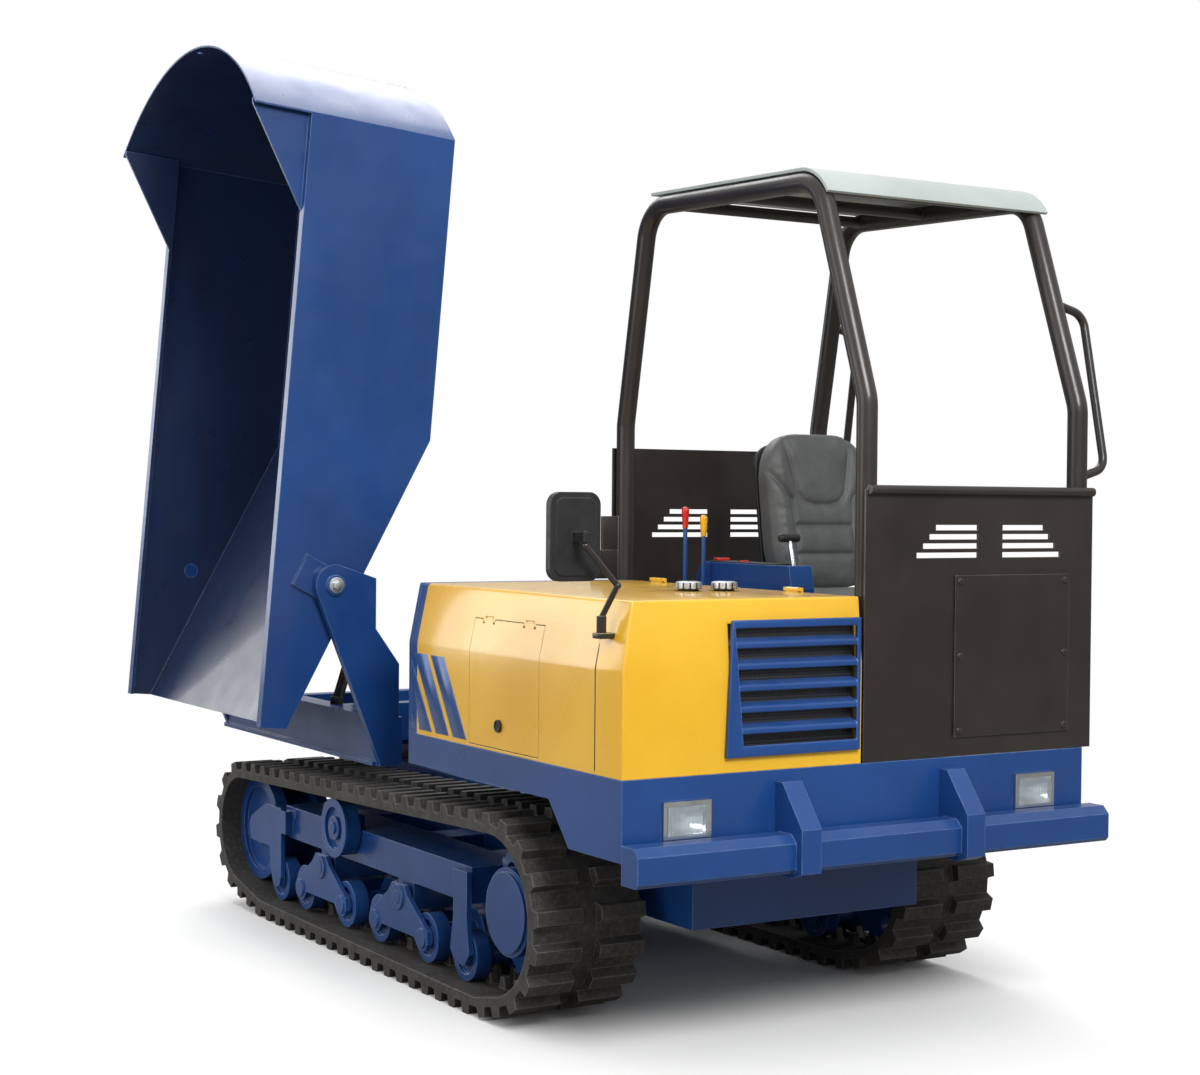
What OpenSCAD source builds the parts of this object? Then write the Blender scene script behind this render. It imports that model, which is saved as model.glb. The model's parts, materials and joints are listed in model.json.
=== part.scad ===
// Tracked carrier: rubber tracks, side bonnet, open cab under a tube frame, and a skip that slews and tips.
// Millimetres. +X is the bumper end, +Y the entry side, +Z up. The origin is on the ground, midway.

/* [Tracks] */
// Distance between the two track centre lines
track_gauge = 1290; // [1270:5:1320]
// Width of one rubber belt
track_w = 350; // [330:5:370]
// Thickness of the belt band
belt_t = 28; // [24:1:32]
// Height of a ground lug
lug_h = 30; // [24:1:34]
// Number of lug rows round one belt
lug_count = 58; // [52:1:62]
// Length of a lug along the belt
lug_l = 48; // [40:1:54]
// Height of the guide horns inside the belt
horn_h = 34; // [24:1:36]
// Place of the idler axle along the machine
idler_x = -980; // [-1000:5:-960]
// Height of the idler axle
idler_z = 287; // [280:1:300]
// Radius of the idler rims
idler_r = 185; // [175:1:190]
// Place of the sprocket axle along the machine
sprocket_x = 935; // [920:5:950]
// Height of the sprocket axle
sprocket_z = 312; // [305:1:320]
// Radius at which the belt lies on the sprocket
sprocket_r = 230; // [220:1:236]
// Radius of a lower roller
roller_r = 76; // [72:1:80]
// Radius of a carrier roller
carrier_r = 92; // [86:1:94]
// Radius of the roller axles
axle_r = 20; // [16:1:24]

/* [Track frames] */
// Underside of the track beam
beam_z0 = 290; // [284:1:296]
// Depth of the track beam
beam_h = 110; // [100:1:116]
// Width of the track beam
beam_w = 190; // [170:2:194]
// Thickness of the roller side plates
side_plate_t = 16; // [12:1:18]
// Half distance between the two rollers of a bogie
bogie_half = 170; // [160:1:176]

/* [Chassis] */
// Top of the front deck
deck_z = 775; // [765:1:785]
// Front face of the deck
deck_front_x = 1620; // [1610:1:1640]
// Rear edge of the deck
deck_rear_x = 370; // [360:1:376]
// Half width of the deck
deck_half_w = 800; // [790:1:810]
// Depth of the deck rails
rail_h = 95; // [80:1:110]
// Underside of the front skirt
skirt_z = 560; // [550:1:580]
// Half width of the spine between the tracks
spine_half_w = 400; // [380:2:420]
// Thickness of the chassis plates
plate_t = 12; // [8:1:14]
// Length of the bumper bar
bumper_l = 1626; // [1580:2:1660]
// Height of the bumper bar
bumper_h = 102; // [90:1:110]

/* [Bonnet] */
// Top of the bonnet
bonnet_top_z = 1235; // [1225:1:1245]
// Height of the crease along the bonnet
crease_z = 1055; // [1040:1:1070]
// How far the bonnet top leans in from the crease
top_inset = 36; // [20:1:44]
// Thickness of the bonnet skin
skin_t = 4; // [3:0.5:5]
// Seam between the hood and the fixed front corner
seam_x = 1480; // [1470:1:1490]
// Width of the service door
door_w = 410; // [380:2:430]
// Height of the service door
door_h = 362; // [340:2:366]
// Number of grille bars
grille_bars = 5; // [3:1:6]

/* [Cab] */
// Diameter of the roll frame tube
tube_d = 60; // [50:1:64]
// Place of the hoop beside the bonnet
hoop_right_y = 10; // [6:1:20]
// Place of the hoop on the entry side
hoop_left_y = 800; // [780:2:804]
// Height of the hoops at the rear top corner
hoop_top_z = 2440; // [2400:5:2460]
// Bend radius of the roll frame tubes
tube_bend_r = 120; // [100:5:150]
// Top of the front panel
front_panel_z = 1530; // [1510:5:1550]
// Top of the rear panel
rear_panel_z = 1665; // [1650:5:1680]
// Thickness of the cab panels
panel_t = 6; // [4:1:8]
// Height of one vent slot
slot_h = 15; // [10:1:17]
// Distance between the vent slots
slot_pitch = 26; // [24:1:30]
// Thickness of the roof sheet
roof_t = 10; // [6:1:14]

/* [Seat] */
// Centre line of the seat
seat_y = 490; // [480:1:500]
// Width of the seat cushion
cushion_w = 440; // [420:5:440]
// Length of the seat cushion
cushion_l = 430; // [410:5:440]
// Thickness of the seat cushion
cushion_h = 120; // [100:5:130]
// Width of the backrest
back_w = 420; // [400:5:440]
// Height of the backrest
back_h = 520; // [500:5:530]
// Thickness of the backrest
back_t = 120; // [100:5:130]
// Top of the seat cushion
cushion_z = 1240; // [1230:1:1250]

/* [Controls] */
// Top of the control console
console_z = 1300; // [1290:1:1310]
// Width of the control console
console_w = 170; // [150:2:180]
// Radius of the skip lever rods
lever_r = 7; // [5:0.5:9]
// Width of the mirror
mirror_w = 150; // [130:2:170]
// Height of the mirror
mirror_h = 230; // [200:2:240]

/* [Skip] */
// Place of the slewing axis along the machine
slew_x = -700; // [-710:2:-690]
// Distance from the slewing axis to the tipping pins
pin_a = 880; // [870:1:890]
// Height of the tipping pins
pin_z = 1213; // [1205:1:1220]
// Radius of the tipping pins
pin_r = 25; // [22:1:28]
// Width of the skip
skip_w = 1300; // [1280:2:1310]
// Depth of the skip floor below the pins
skip_depth = 314; // [306:1:320]
// Height of the skip rim above the pins
rim_n = 200; // [190:1:210]
// Height of the bow edge above the pins
bow_n = 392; // [380:1:400]
// Radius of the curved bow about the slewing axis
bow_r = 900; // [896:1:910]
// Thickness of the skip plates
skip_t = 6; // [5:0.5:8]
// Angle of the skip floor when it is tipped
tip_angle = 85.2; // [80:0.2:86]

/* [Tipping cylinder] */
// Distance from the slewing axis to the cylinder foot
foot_a = 430; // [424:1:436]
// Height of the cylinder foot
foot_z = 700; // [696:1:704]
// Distance of the cylinder head from the tipping pins along the floor
head_u = 250; // [240:1:260]
// Depth of the cylinder head below the tipping pins
head_n = 250; // [246:1:256]
// Outer radius of the cylinder barrel
barrel_r = 42; // [38:1:46]
// Radius of the cylinder rod
rod_r = 20; // [16:1:22]
// Outer diameter of the hydraulic hoses
hose_d = 22; // [18:1:26]

/* [Hidden] */
$fn = 48;

blue = "#1f4f96";
yellow = "#f0bf2c";
black = "#232120";
rubber = "#2b2724";
silver = "#b9bcc0";
red = "#d0301f";
grey = "#9aa3a0";

// Clearances: running fits on pins, gaps between neighbours, gaps between panels
fit = 0.06;
near = 0.3;
gap = 2;

RIGHT = -1;
LEFT = 1;
track_y = track_gauge / 2;

// Box between two opposite corners
module box(low, high) {
  translate(low) cube(high - low);
}

// Round bars along the three axes
module xcyl(y, z, r, x0, x1) {
  translate([x0, y, z]) rotate([0, 90, 0]) cylinder(r = r, h = x1 - x0);
}

module ycyl(x, z, r, y0, y1) {
  translate([x, y0, z]) rotate([-90, 0, 0]) cylinder(r = r, h = y1 - y0);
}

module zcyl(x, y, r, z0, z1) {
  translate([x, y, z0]) cylinder(r = r, h = z1 - z0);
}

// A shape drawn in X and Z, standing between y0 and y1
module xz_plate(y0, y1) {
  translate([0, y1, 0]) rotate([90, 0, 0]) linear_extrude(y1 - y0) children();
}

// A shape drawn in Y and Z, standing between x0 and x1
module yz_plate(x0, x1) {
  translate([x0, 0, 0]) rotate([90, 0, 90]) linear_extrude(x1 - x0) children();
}

// Both halves of something that is the same on either side of Y = 0
module both_sides() {
  children();
  mirror([0, 1, 0]) children();
}

// Round bar from one point to another
module rod(p, q, r) {
  v = q - p;
  translate(p) rotate([0, acos(v.z / norm(v)), atan2(v.y, v.x)]) cylinder(r = r, h = norm(v));
}

// Tube along points in the plane of X and Z, with round bends between its straights and a low weld bead at each joint
weld = 2;
function turn_side(pts, i) = sign(cross(pts[i] - pts[i - 1], pts[i + 1] - pts[i]));
function way(pts, i) = (pts[i + 1] - pts[i]) / norm(pts[i + 1] - pts[i]);
function turn_angle(pts, i) = acos(way(pts, i - 1) * way(pts, i));
function set_back(pts, i, bend) = i == 0 || i == len(pts) - 1 ? 0 : bend * tan(turn_angle(pts, i) / 2);

module bent_tube(pts, bend, r) {
  rotate([90, 0, 0]) {
    for (i = [0 : len(pts) - 2]) {
      p = pts[i] + way(pts, i) * set_back(pts, i, bend);
      q = pts[i + 1] - way(pts, i) * set_back(pts, i + 1, bend);
      rod([p.x, p.y, 0], [q.x, q.y, 0], r);
    }
    for (i = [1 : len(pts) - 2]) {
      d = way(pts, i - 1);
      side = turn_side(pts, i);
      start = pts[i] - d * set_back(pts, i, bend);
      centre = start + side * bend * [-d.y, d.x];
      out = start - centre;
      swing = turn_angle(pts, i);
      first = atan2(out.y, out.x);
      translate([centre.x, centre.y, 0]) rotate([0, 0, side > 0 ? first : first - swing])
        rotate_extrude(angle = swing) translate([bend, 0]) circle(r = r);
      end = pts[i] + way(pts, i) * set_back(pts, i, bend);
      for (p = [start, end]) translate([p.x, p.y, 0]) sphere(r = r + weld);
    }
  }
}

// Belt path: the wheels it is led round, as [x, z, radius], anticlockwise from the front ground bend
ground_z = belt_t + lug_h;
bend_r = 90;
ground_front_x = 840;
ground_rear_x = -780;
idler_gap = 1.1;
sprocket_gap = 1;
belt_wheels = [
  [ground_front_x, ground_z + bend_r, bend_r],
  [sprocket_x, sprocket_z, sprocket_r + sprocket_gap],
  [idler_x, idler_z, idler_r + idler_gap],
  [ground_rear_x, ground_z + bend_r, bend_r]];
wheel_count = len(belt_wheels);
arc_steps = 24;

function wheel(i) = belt_wheels[(i + wheel_count) % wheel_count];
function run_vec(i) = [wheel(i + 1)[0] - wheel(i)[0], wheel(i + 1)[1] - wheel(i)[1]];
function run_drop(i) = wheel(i)[2] - wheel(i + 1)[2];
function run_normal(i) = atan2(run_vec(i).y, run_vec(i).x) - acos(run_drop(i) / norm(run_vec(i)));
function run_len(i) = sqrt(pow(norm(run_vec(i)), 2) - pow(run_drop(i), 2));
function arc_turn(i) = ((run_normal(i) - run_normal(i - 1)) % 360 + 360) % 360;
function piece_len(k) = k % 2 == 0 ? wheel(k / 2)[2] * arc_turn(k / 2) * PI / 180 : run_len((k - 1) / 2);
function path_start(k) = k == 0 ? 0 : path_start(k - 1) + piece_len(k - 1);
path_starts = [for (k = [0 : 2 * wheel_count]) path_start(k)];
belt_len = path_starts[2 * wheel_count];
lug_pitch = belt_len / lug_count;

function piece_at(s, k) = k == 2 * wheel_count - 1 || s < path_starts[k + 1] ? k : piece_at(s, k + 1);
function on_wheel(w, a, out) = [w[0] + (w[2] + out) * cos(a), w[1] + (w[2] + out) * sin(a)];

// Point at distance s along the inner face of the belt, pushed outwards by out
function belt_point(s, out) =
  let (q = s - floor(s / belt_len) * belt_len, k = piece_at(q, 0), d = q - path_starts[k])
  let (i = floor(k / 2), w = wheel(i), a = run_normal(i))
  k % 2 == 0
    ? on_wheel(w, run_normal(i - 1) + d / w[2] * 180 / PI, out)
    : on_wheel(w, a, out) + d * [-sin(a), cos(a)];

// Smooth outline of the belt at one depth, and outlines with lugs outside or horns inside
function belt_ring(out) = [for (i = [0 : wheel_count - 1]) for (j = [0 : arc_steps])
  on_wheel(wheel(i), run_normal(i - 1) + arc_turn(i) * j / arc_steps, out)];
lug_draft = 8;
lug_shape = [[-lug_l / 2, 0], [lug_draft - lug_l / 2, lug_h], [lug_l / 2 - lug_draft, lug_h], [lug_l / 2, 0]];
lug_outline = [for (j = [0 : lug_count - 1]) for (c = lug_shape)
  belt_point((j + 0.5) * lug_pitch + c.x, belt_t + c.y)];
horn_l = 40;
horn_draft = 9;
horn_shape = [[-horn_l / 2, 0], [horn_draft - horn_l / 2, -horn_h], [horn_l / 2 - horn_draft, -horn_h], [horn_l / 2, 0]];
horn_outline = [for (j = [0 : lug_count - 1]) for (c = horn_shape) belt_point((j + 0.5) * lug_pitch + c.x, c.y)];

// Widths across the track, measured outwards from its centre line
sprocket_w = 36;
channel_half = 30;
channel_depth = 12;
horn_half = 52;
rim_y0 = 56;
rim_y1 = 105;
plate_y = 108;
pin_end_y = plate_y + side_plate_t + 8;

// Turns a shape drawn with +Y outwards into place on one track
module at_track(side) {
  translate([0, side * track_y, 0]) mirror([0, side < 0 ? 1 : 0, 0]) children();
}

module belt_strip(y0, y1, outer, inner) {
  xz_plate(y0, y1) difference() {
    polygon(outer);
    polygon(inner);
  }
}

module track_belt(side) {
  color(rubber) at_track(side) {
    belt_strip(-channel_half, channel_half, belt_ring(belt_t), belt_ring(channel_depth));
    both_sides() {
      belt_strip(channel_half, horn_half, lug_outline, horn_outline);
      belt_strip(horn_half, track_w / 2, lug_outline, belt_ring(0));
    }
  }
}

// Lower rollers: the outer two hang on the beam, the inner four on two rocking bogies
roller_gap = 7;
single_gap = 1.5;
bogie_roller_z = ground_z + roller_gap + roller_r;
single_roller_z = ground_z + single_gap + roller_r;
single_rear_x = -762;
single_front_x = 660;
bogie_rear_x = -370;
bogie_front_x = 235;
bogie_pivot_z = 240;
bogie_pin_r = 22;
idler_axle_r = 25;
carrier_x = -190;
carrier_z = 400;
beam_z1 = beam_z0 + beam_h;
beam_half = beam_w / 2;
beam_rear_x = -740;
beam_front_x = 680;
roller_places = [
  [single_rear_x, single_roller_z],
  [bogie_rear_x - bogie_half, bogie_roller_z],
  [bogie_rear_x + bogie_half, bogie_roller_z],
  [bogie_front_x - bogie_half, bogie_roller_z],
  [bogie_front_x + bogie_half, bogie_roller_z],
  [single_front_x, single_roller_z]];
motor_r = 95;
motor_y = -24;
spindle_r = 40;
spindle_end_y = 70;
carrier_y0 = beam_half + 5;
carrier_y1 = carrier_y0 + 58;

// Side plates of the rear fork, which holds the idler and the rear roller, and of the front roller
lobe_knee_z = single_roller_z + 14;
lobe_toe_z = single_roller_z - 24;
plate_top_z = beam_z1 - 8;

module fork_outline() {
  root_x = beam_rear_x + 20;
  toe_half = 24;
  knee_half = 42;
  crotch_x = single_rear_x - 62;
  shoulder_x = idler_x + 120;
  eye_half = 36;
  eye_corner = 16;
  eye_h = 42;
  polygon([[root_x, plate_top_z], [root_x, beam_z0], [single_rear_x + knee_half, lobe_knee_z],
    [single_rear_x + toe_half, lobe_toe_z], [single_rear_x - toe_half, lobe_toe_z],
    [single_rear_x - knee_half, lobe_knee_z], [crotch_x, idler_z - eye_h],
    [idler_x - eye_half + eye_corner, idler_z - eye_h], [idler_x - eye_half, idler_z - eye_corner],
    [idler_x - eye_half, idler_z + eye_corner], [idler_x - eye_half + eye_corner, idler_z + eye_h],
    [shoulder_x, plate_top_z]]);
}

module front_hanger_outline() {
  root_half = 43;
  toe_half = 30;
  knee_half = 60;
  neck_z = beam_z0 - 40;
  translate([single_front_x, 0]) polygon([[-root_half, plate_top_z], [-root_half, neck_z], [-knee_half, lobe_knee_z],
    [-toe_half, lobe_toe_z], [toe_half, lobe_toe_z], [knee_half, lobe_knee_z], [root_half, neck_z],
    [root_half, plate_top_z]]);
}

module track_frame(side) {
  spacer_l = 60;
  hanger_half = 55;
  hanger_z = 205;
  motor_back_y = -170;
  motor_plate_y0 = -150;
  color(blue) at_track(side) {
    box([beam_rear_x, -beam_half, beam_z0], [beam_front_x, beam_half, beam_z1]);
    both_sides() {
      xz_plate(plate_y, plate_y + side_plate_t) fork_outline();
      xz_plate(plate_y, plate_y + side_plate_t) front_hanger_outline();
      box([beam_rear_x, beam_half - 1, beam_z0 + 15], [beam_rear_x + spacer_l, plate_y + 1, beam_z1 - 15]);
      box([beam_front_x - spacer_l, beam_half - 1, beam_z0 + 15], [beam_front_x, plate_y + 1, beam_z1 - 15]);
      box([beam_rear_x - 20, plate_y, beam_z0 + 15], [beam_rear_x + spacer_l, plate_y + side_plate_t, beam_z1 - 15]);
    }
    for (x = [single_rear_x, single_front_x])
      ycyl(x, single_roller_z, axle_r, -plate_y - side_plate_t, plate_y + side_plate_t);
    ycyl(idler_x, idler_z, idler_axle_r, -plate_y - side_plate_t, plate_y + side_plate_t);
    for (x = [bogie_rear_x, bogie_front_x]) {
      box([x - hanger_half, -beam_half, hanger_z], [x + hanger_half, beam_half, beam_z0 + 1]);
      ycyl(x, bogie_pivot_z, bogie_pin_r, -pin_end_y, pin_end_y);
    }
    box([carrier_x - 40, beam_half - 35, beam_z1 - 60], [carrier_x + 40, beam_half, carrier_z + 40]);
    ycyl(carrier_x, carrier_z, axle_r, beam_half - 1, carrier_y1 + 6);
    // Travel motor inside the sprocket, on a plate from the beam
    ycyl(sprocket_x, sprocket_z, motor_r, motor_back_y, motor_y);
    ycyl(sprocket_x, sprocket_z, spindle_r, motor_y - 1, spindle_end_y);
    box([560, motor_plate_y0, beam_z0 + 5], [sprocket_x, motor_plate_y0 + 24, beam_z1 - 5]);
    box([560, motor_plate_y0, beam_z0 + 5], [620, -beam_half + 1, beam_z1 - 5]);
    // Round cover of the track tensioner
    ycyl(-650, beam_z1 - 22, 17, beam_half - 1, beam_half + 8);
  }
}

// Toothed ring on a drum that turns about the motor spindle
module sprocket(side) {
  teeth = round(2 * PI * sprocket_r / lug_pitch);
  tooth_tip = 8;
  tooth_l = 34;
  tooth_w = sprocket_w - 4;
  root_r = sprocket_r - 6;
  drum_r = 128;
  drum_y1 = 112;
  cap_r = 116;
  hole_r = 28;
  hole_ring_r = 172;
  color(blue) at_track(side) difference() {
    union() {
      ycyl(sprocket_x, sprocket_z, root_r, -sprocket_w / 2, sprocket_w / 2);
      for (i = [0 : teeth - 1]) translate([sprocket_x, 0, sprocket_z]) rotate([0, (i + 0.3) * 360 / teeth, 0])
        xz_plate(-tooth_w / 2, tooth_w / 2) polygon([[root_r - 20, -tooth_l / 2], [root_r - 20, tooth_l / 2],
          [sprocket_r + tooth_tip, tooth_l / 4], [sprocket_r + tooth_tip, -tooth_l / 4]]);
      ycyl(sprocket_x, sprocket_z, drum_r, motor_y + 4, drum_y1);
      ycyl(sprocket_x, sprocket_z, cap_r, drum_y1 - 1, drum_y1 + 10);
    }
    ycyl(sprocket_x, sprocket_z, spindle_r + fit, motor_y, spindle_end_y + 5);
    for (i = [0 : 5]) translate([sprocket_x, 0, sprocket_z]) rotate([0, i * 60 + 30, 0])
      ycyl(hole_ring_r, 0, hole_r, -sprocket_w, sprocket_w);
  }
}

// Rear wheel with two rims that run beside the guide horns
module idler(side) {
  hub_r = 130;
  recess_r0 = 60;
  recess_r1 = 150;
  color(blue) at_track(side) difference() {
    union() {
      ycyl(idler_x, idler_z, hub_r, -rim_y0 - 1, rim_y0 + 1);
      both_sides() ycyl(idler_x, idler_z, idler_r, rim_y0, rim_y1 - 5);
    }
    ycyl(idler_x, idler_z, idler_axle_r + fit, -rim_y1, rim_y1);
    both_sides() difference() {
      ycyl(idler_x, idler_z, recess_r1, rim_y1 - 20, rim_y1);
      ycyl(idler_x, idler_z, recess_r0, rim_y1 - 21, rim_y1 + 1);
    }
  }
}

module roller(side, place) {
  hub_r = 38;
  recess_r = 56;
  boss_r = 34;
  color(blue) at_track(side) difference() {
    union() {
      ycyl(place.x, place.y, hub_r, -rim_y0 - 1, rim_y0 + 1);
      both_sides() ycyl(place.x, place.y, roller_r, rim_y0, rim_y1);
    }
    ycyl(place.x, place.y, axle_r + fit, -rim_y1 - 1, rim_y1 + 1);
    both_sides() difference() {
      ycyl(place.x, place.y, recess_r, rim_y1 - 10, rim_y1 + 1);
      ycyl(place.x, place.y, boss_r, rim_y1 - 11, rim_y1 + 2);
    }
  }
}

// Rocking arm that hangs on the beam and carries two rollers
module bogie(side, x) {
  rise = bogie_pivot_z - bogie_roller_z;
  boss_t = 6;
  bar_half = 28;
  color(blue) at_track(side) translate([x, 0, 0]) difference() {
    union() {
      both_sides() {
        xz_plate(plate_y, plate_y + side_plate_t) translate([0, bogie_roller_z]) polygon([
          [-bogie_half - 38, -14], [-bogie_half - 24, -36], [-bogie_half + 24, -36], [-bogie_half + 52, -6],
          [bogie_half - 52, -6], [bogie_half - 24, -36], [bogie_half + 24, -36], [bogie_half + 38, -14],
          [bogie_half + 34, 26], [70, rise + 10], [42, rise + 42], [-42, rise + 42], [-70, rise + 10],
          [-bogie_half - 34, 26]]);
        for (dx = [-bogie_half, bogie_half])
          ycyl(dx, bogie_roller_z, 30, plate_y + side_plate_t - 1, plate_y + side_plate_t + boss_t);
        ycyl(0, bogie_pivot_z, 40, plate_y + side_plate_t - 1, plate_y + side_plate_t + boss_t);
      }
      for (dx = [-bogie_half, bogie_half])
        ycyl(dx, bogie_roller_z, axle_r, -plate_y - 1, plate_y + 1);
      box([-bar_half, -plate_y - 1, 150], [bar_half, plate_y + 1, 186]);
    }
    ycyl(0, bogie_pivot_z, bogie_pin_r + fit, -pin_end_y - 10, pin_end_y + 10);
  }
}

// Flanged roller on a stub axle that keeps the upper run up
module carrier_roller(side) {
  flange_t = 8;
  color(blue) at_track(side) difference() {
    union() {
      ycyl(carrier_x, carrier_z, carrier_r, carrier_y0, carrier_y1);
      ycyl(carrier_x, carrier_z, carrier_r + 6, carrier_y1 - flange_t, carrier_y1);
    }
    ycyl(carrier_x, carrier_z, axle_r + fit, carrier_y0 - 1, carrier_y1 + 1);
    difference() {
      ycyl(carrier_x, carrier_z, carrier_r - 22, carrier_y1 - 14, carrier_y1 + 1);
      ycyl(carrier_x, carrier_z, axle_r + 20, carrier_y1 - 15, carrier_y1 + 2);
    }
  }
}

// Chassis: spine between the tracks, front deck with rails and skirt, and cross members to the track beams
spine_z0 = 300;
spine_z1 = 560;
spine_rear_x = -1050;
skirt_x = 1350;
lamp_y = 605;
lamp_z = 660;
lamp_w = 150;
lamp_h = 104;
rail_z0 = deck_z - rail_h;
cab_rear_x = 255;
cab_y0 = -40;

module lamp_places() {
  for (y = [-lamp_y, lamp_y]) translate([deck_front_x, y, lamp_z]) children();
}

module chassis() {
  cross_half = 60;
  cross_z0 = 305;
  cross_z1 = 395;
  beam_inner_y = track_y - beam_half;
  deck_front = deck_front_x - plate_t;
  color(blue) difference() {
    union() {
      box([deck_rear_x, -deck_half_w, deck_z - plate_t], [deck_front_x, deck_half_w, deck_z]);
      // Rear part of the deck, under the cab only
      box([cab_rear_x, cab_y0, deck_z - plate_t], [deck_rear_x + 1, deck_half_w, deck_z]);
      box([cab_rear_x, cab_y0, rail_z0], [cab_rear_x + plate_t, deck_half_w, deck_z]);
      for (y = [cab_y0, deck_half_w - plate_t]) box([cab_rear_x, y, rail_z0], [deck_rear_x + 1, y + plate_t, deck_z]);
      box([deck_front, -deck_half_w, skirt_z], [deck_front_x, deck_half_w, deck_z]);
      box([deck_rear_x, -deck_half_w, rail_z0], [deck_rear_x + plate_t, deck_half_w, deck_z]);
      box([skirt_x, -deck_half_w, skirt_z], [deck_front_x, deck_half_w, skirt_z + plate_t]);
      both_sides() {
        xz_plate(deck_half_w - plate_t, deck_half_w) polygon([[deck_rear_x, rail_z0], [skirt_x - 110, rail_z0],
          [skirt_x, skirt_z], [deck_front_x, skirt_z], [deck_front_x, deck_z], [deck_rear_x, deck_z]]);
        box([deck_rear_x + 40, spine_half_w - 20, spine_z1 - 1], [skirt_x + 1, spine_half_w, deck_z - plate_t + 1]);
      }
      // Spine: a box open below, with cross members out to the track beams
      difference() {
        box([spine_rear_x, -spine_half_w, spine_z0], [skirt_x + 1, spine_half_w, spine_z1]);
        box([spine_rear_x + plate_t, plate_t - spine_half_w, spine_z0 - 1],
          [skirt_x - plate_t, spine_half_w - plate_t, spine_z1 - plate_t]);
      }
      both_sides() for (x = [-480, 60, 480])
        box([x - cross_half, spine_half_w - 1, cross_z0], [x + cross_half, beam_inner_y, cross_z1]);
    }
    lamp_places() box([-plate_t - 1, -lamp_w / 2, -lamp_h / 2], [1, lamp_w / 2, lamp_h / 2]);
  }
}

// Bumper bar with a bevelled front, on two bent brackets
bumper_reach = 100;
bumper_x = deck_front_x + bumper_reach;
module front_bumper() {
  bar_z0 = skirt_z - 50;
  bar_t = 80;
  bevel = 22;
  bracket_y = 285;
  bracket_w = 65;
  bracket_nose = 24;
  bracket_shelf = 34;
  bracket_top = deck_z - 30;
  bracket_toe = 16;
  bar_z1 = bar_z0 + bumper_h;
  face_x = deck_front_x;
  nose_x = bumper_x + bracket_nose;
  color(blue) {
    xz_plate(-bumper_l / 2, bumper_l / 2) polygon([[bumper_x - bar_t, bar_z0], [bumper_x - bevel / 2, bar_z0],
      [bumper_x, bar_z0 + bevel / 2], [bumper_x, bar_z1 - bevel], [bumper_x - bevel, bar_z1],
      [bumper_x - bar_t, bar_z1]]);
    for (y = [-bracket_y, bracket_y]) xz_plate(y - bracket_w / 2, y + bracket_w / 2) polygon([
      [face_x, bracket_top], [face_x + bracket_shelf, bracket_top], [nose_x, bar_z1 + bracket_toe], [nose_x, bar_z0],
      [bumper_x - bracket_toe, bar_z0 - bracket_toe], [bumper_x - bar_t, bar_z0 - bracket_toe],
      [face_x, skirt_z + bracket_toe]]);
  }
}

// Headlamps: a housing behind the skirt with a bezel in front, and a lens in the bezel
lens_inset = 12;
module headlamp_housings() {
  back = 40;
  proud = 12;
  color(silver) lamp_places() difference() {
    box([-back, near - lamp_w / 2, near - lamp_h / 2], [proud, lamp_w / 2 - near, lamp_h / 2 - near]);
    box([4 - back, lens_inset - lamp_w / 2, lens_inset - lamp_h / 2],
      [proud + 1, lamp_w / 2 - lens_inset, lamp_h / 2 - lens_inset]);
  }
}

module headlamp_lenses() {
  color("white") lamp_places()
    box([4, lens_inset + near - lamp_w / 2, lens_inset + near - lamp_h / 2],
      [14, lamp_w / 2 - lens_inset - near, lamp_h / 2 - lens_inset - near]);
}

// Bonnet: one outer form, split into a fixed shell, a hinged hood and a service door
bonnet_y = -deck_half_w;
bonnet_inner_y = hoop_right_y - tube_d / 2 - 8;
hood_rear_x = deck_rear_x + 16;
front_lean = 18;
door_x0 = 770;
door_z0 = deck_z + 10;
hinge_z = bonnet_top_z + 5;
hinge_y = bonnet_inner_y - 6;
door_hinge_z = door_z0 + door_h;

// Outer form of the bonnet, shrunk by t on its outer faces
module bonnet_form(t) {
  intersection() {
    yz_plate(deck_rear_x, deck_front_x) polygon([[bonnet_y + t, deck_z + near], [bonnet_y + t, crease_z],
      [bonnet_y + top_inset + t, bonnet_top_z - t], [bonnet_inner_y, bonnet_top_z - t], [bonnet_inner_y, deck_z + near]]);
    xz_plate(bonnet_y - 1, bonnet_inner_y + 1) polygon([[deck_rear_x - 1, deck_z], [deck_front_x - t, deck_z],
      [deck_front_x - t, crease_z], [deck_front_x - front_lean - t, bonnet_top_z + 1],
      [deck_rear_x - 1, bonnet_top_z + 1]]);
  }
}

module bonnet_skin() {
  difference() {
    bonnet_form(0);
    translate([0, 0, -2]) bonnet_form(skin_t);
  }
}

grille_y0 = -484;
grille_y1 = bonnet_inner_y - 12;
grille_z0 = deck_z + 40;
grille_z1 = 1180;
hinge_places = [560, 1280];
knuckle_l = 60;
hinge_pin_r = 4;

wall_t = 6;
mirror_x = 1530;
mirror_foot_y = bonnet_y - 12;
mirror_foot_z = 1150;
mirror_pin_r = 6;

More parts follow.
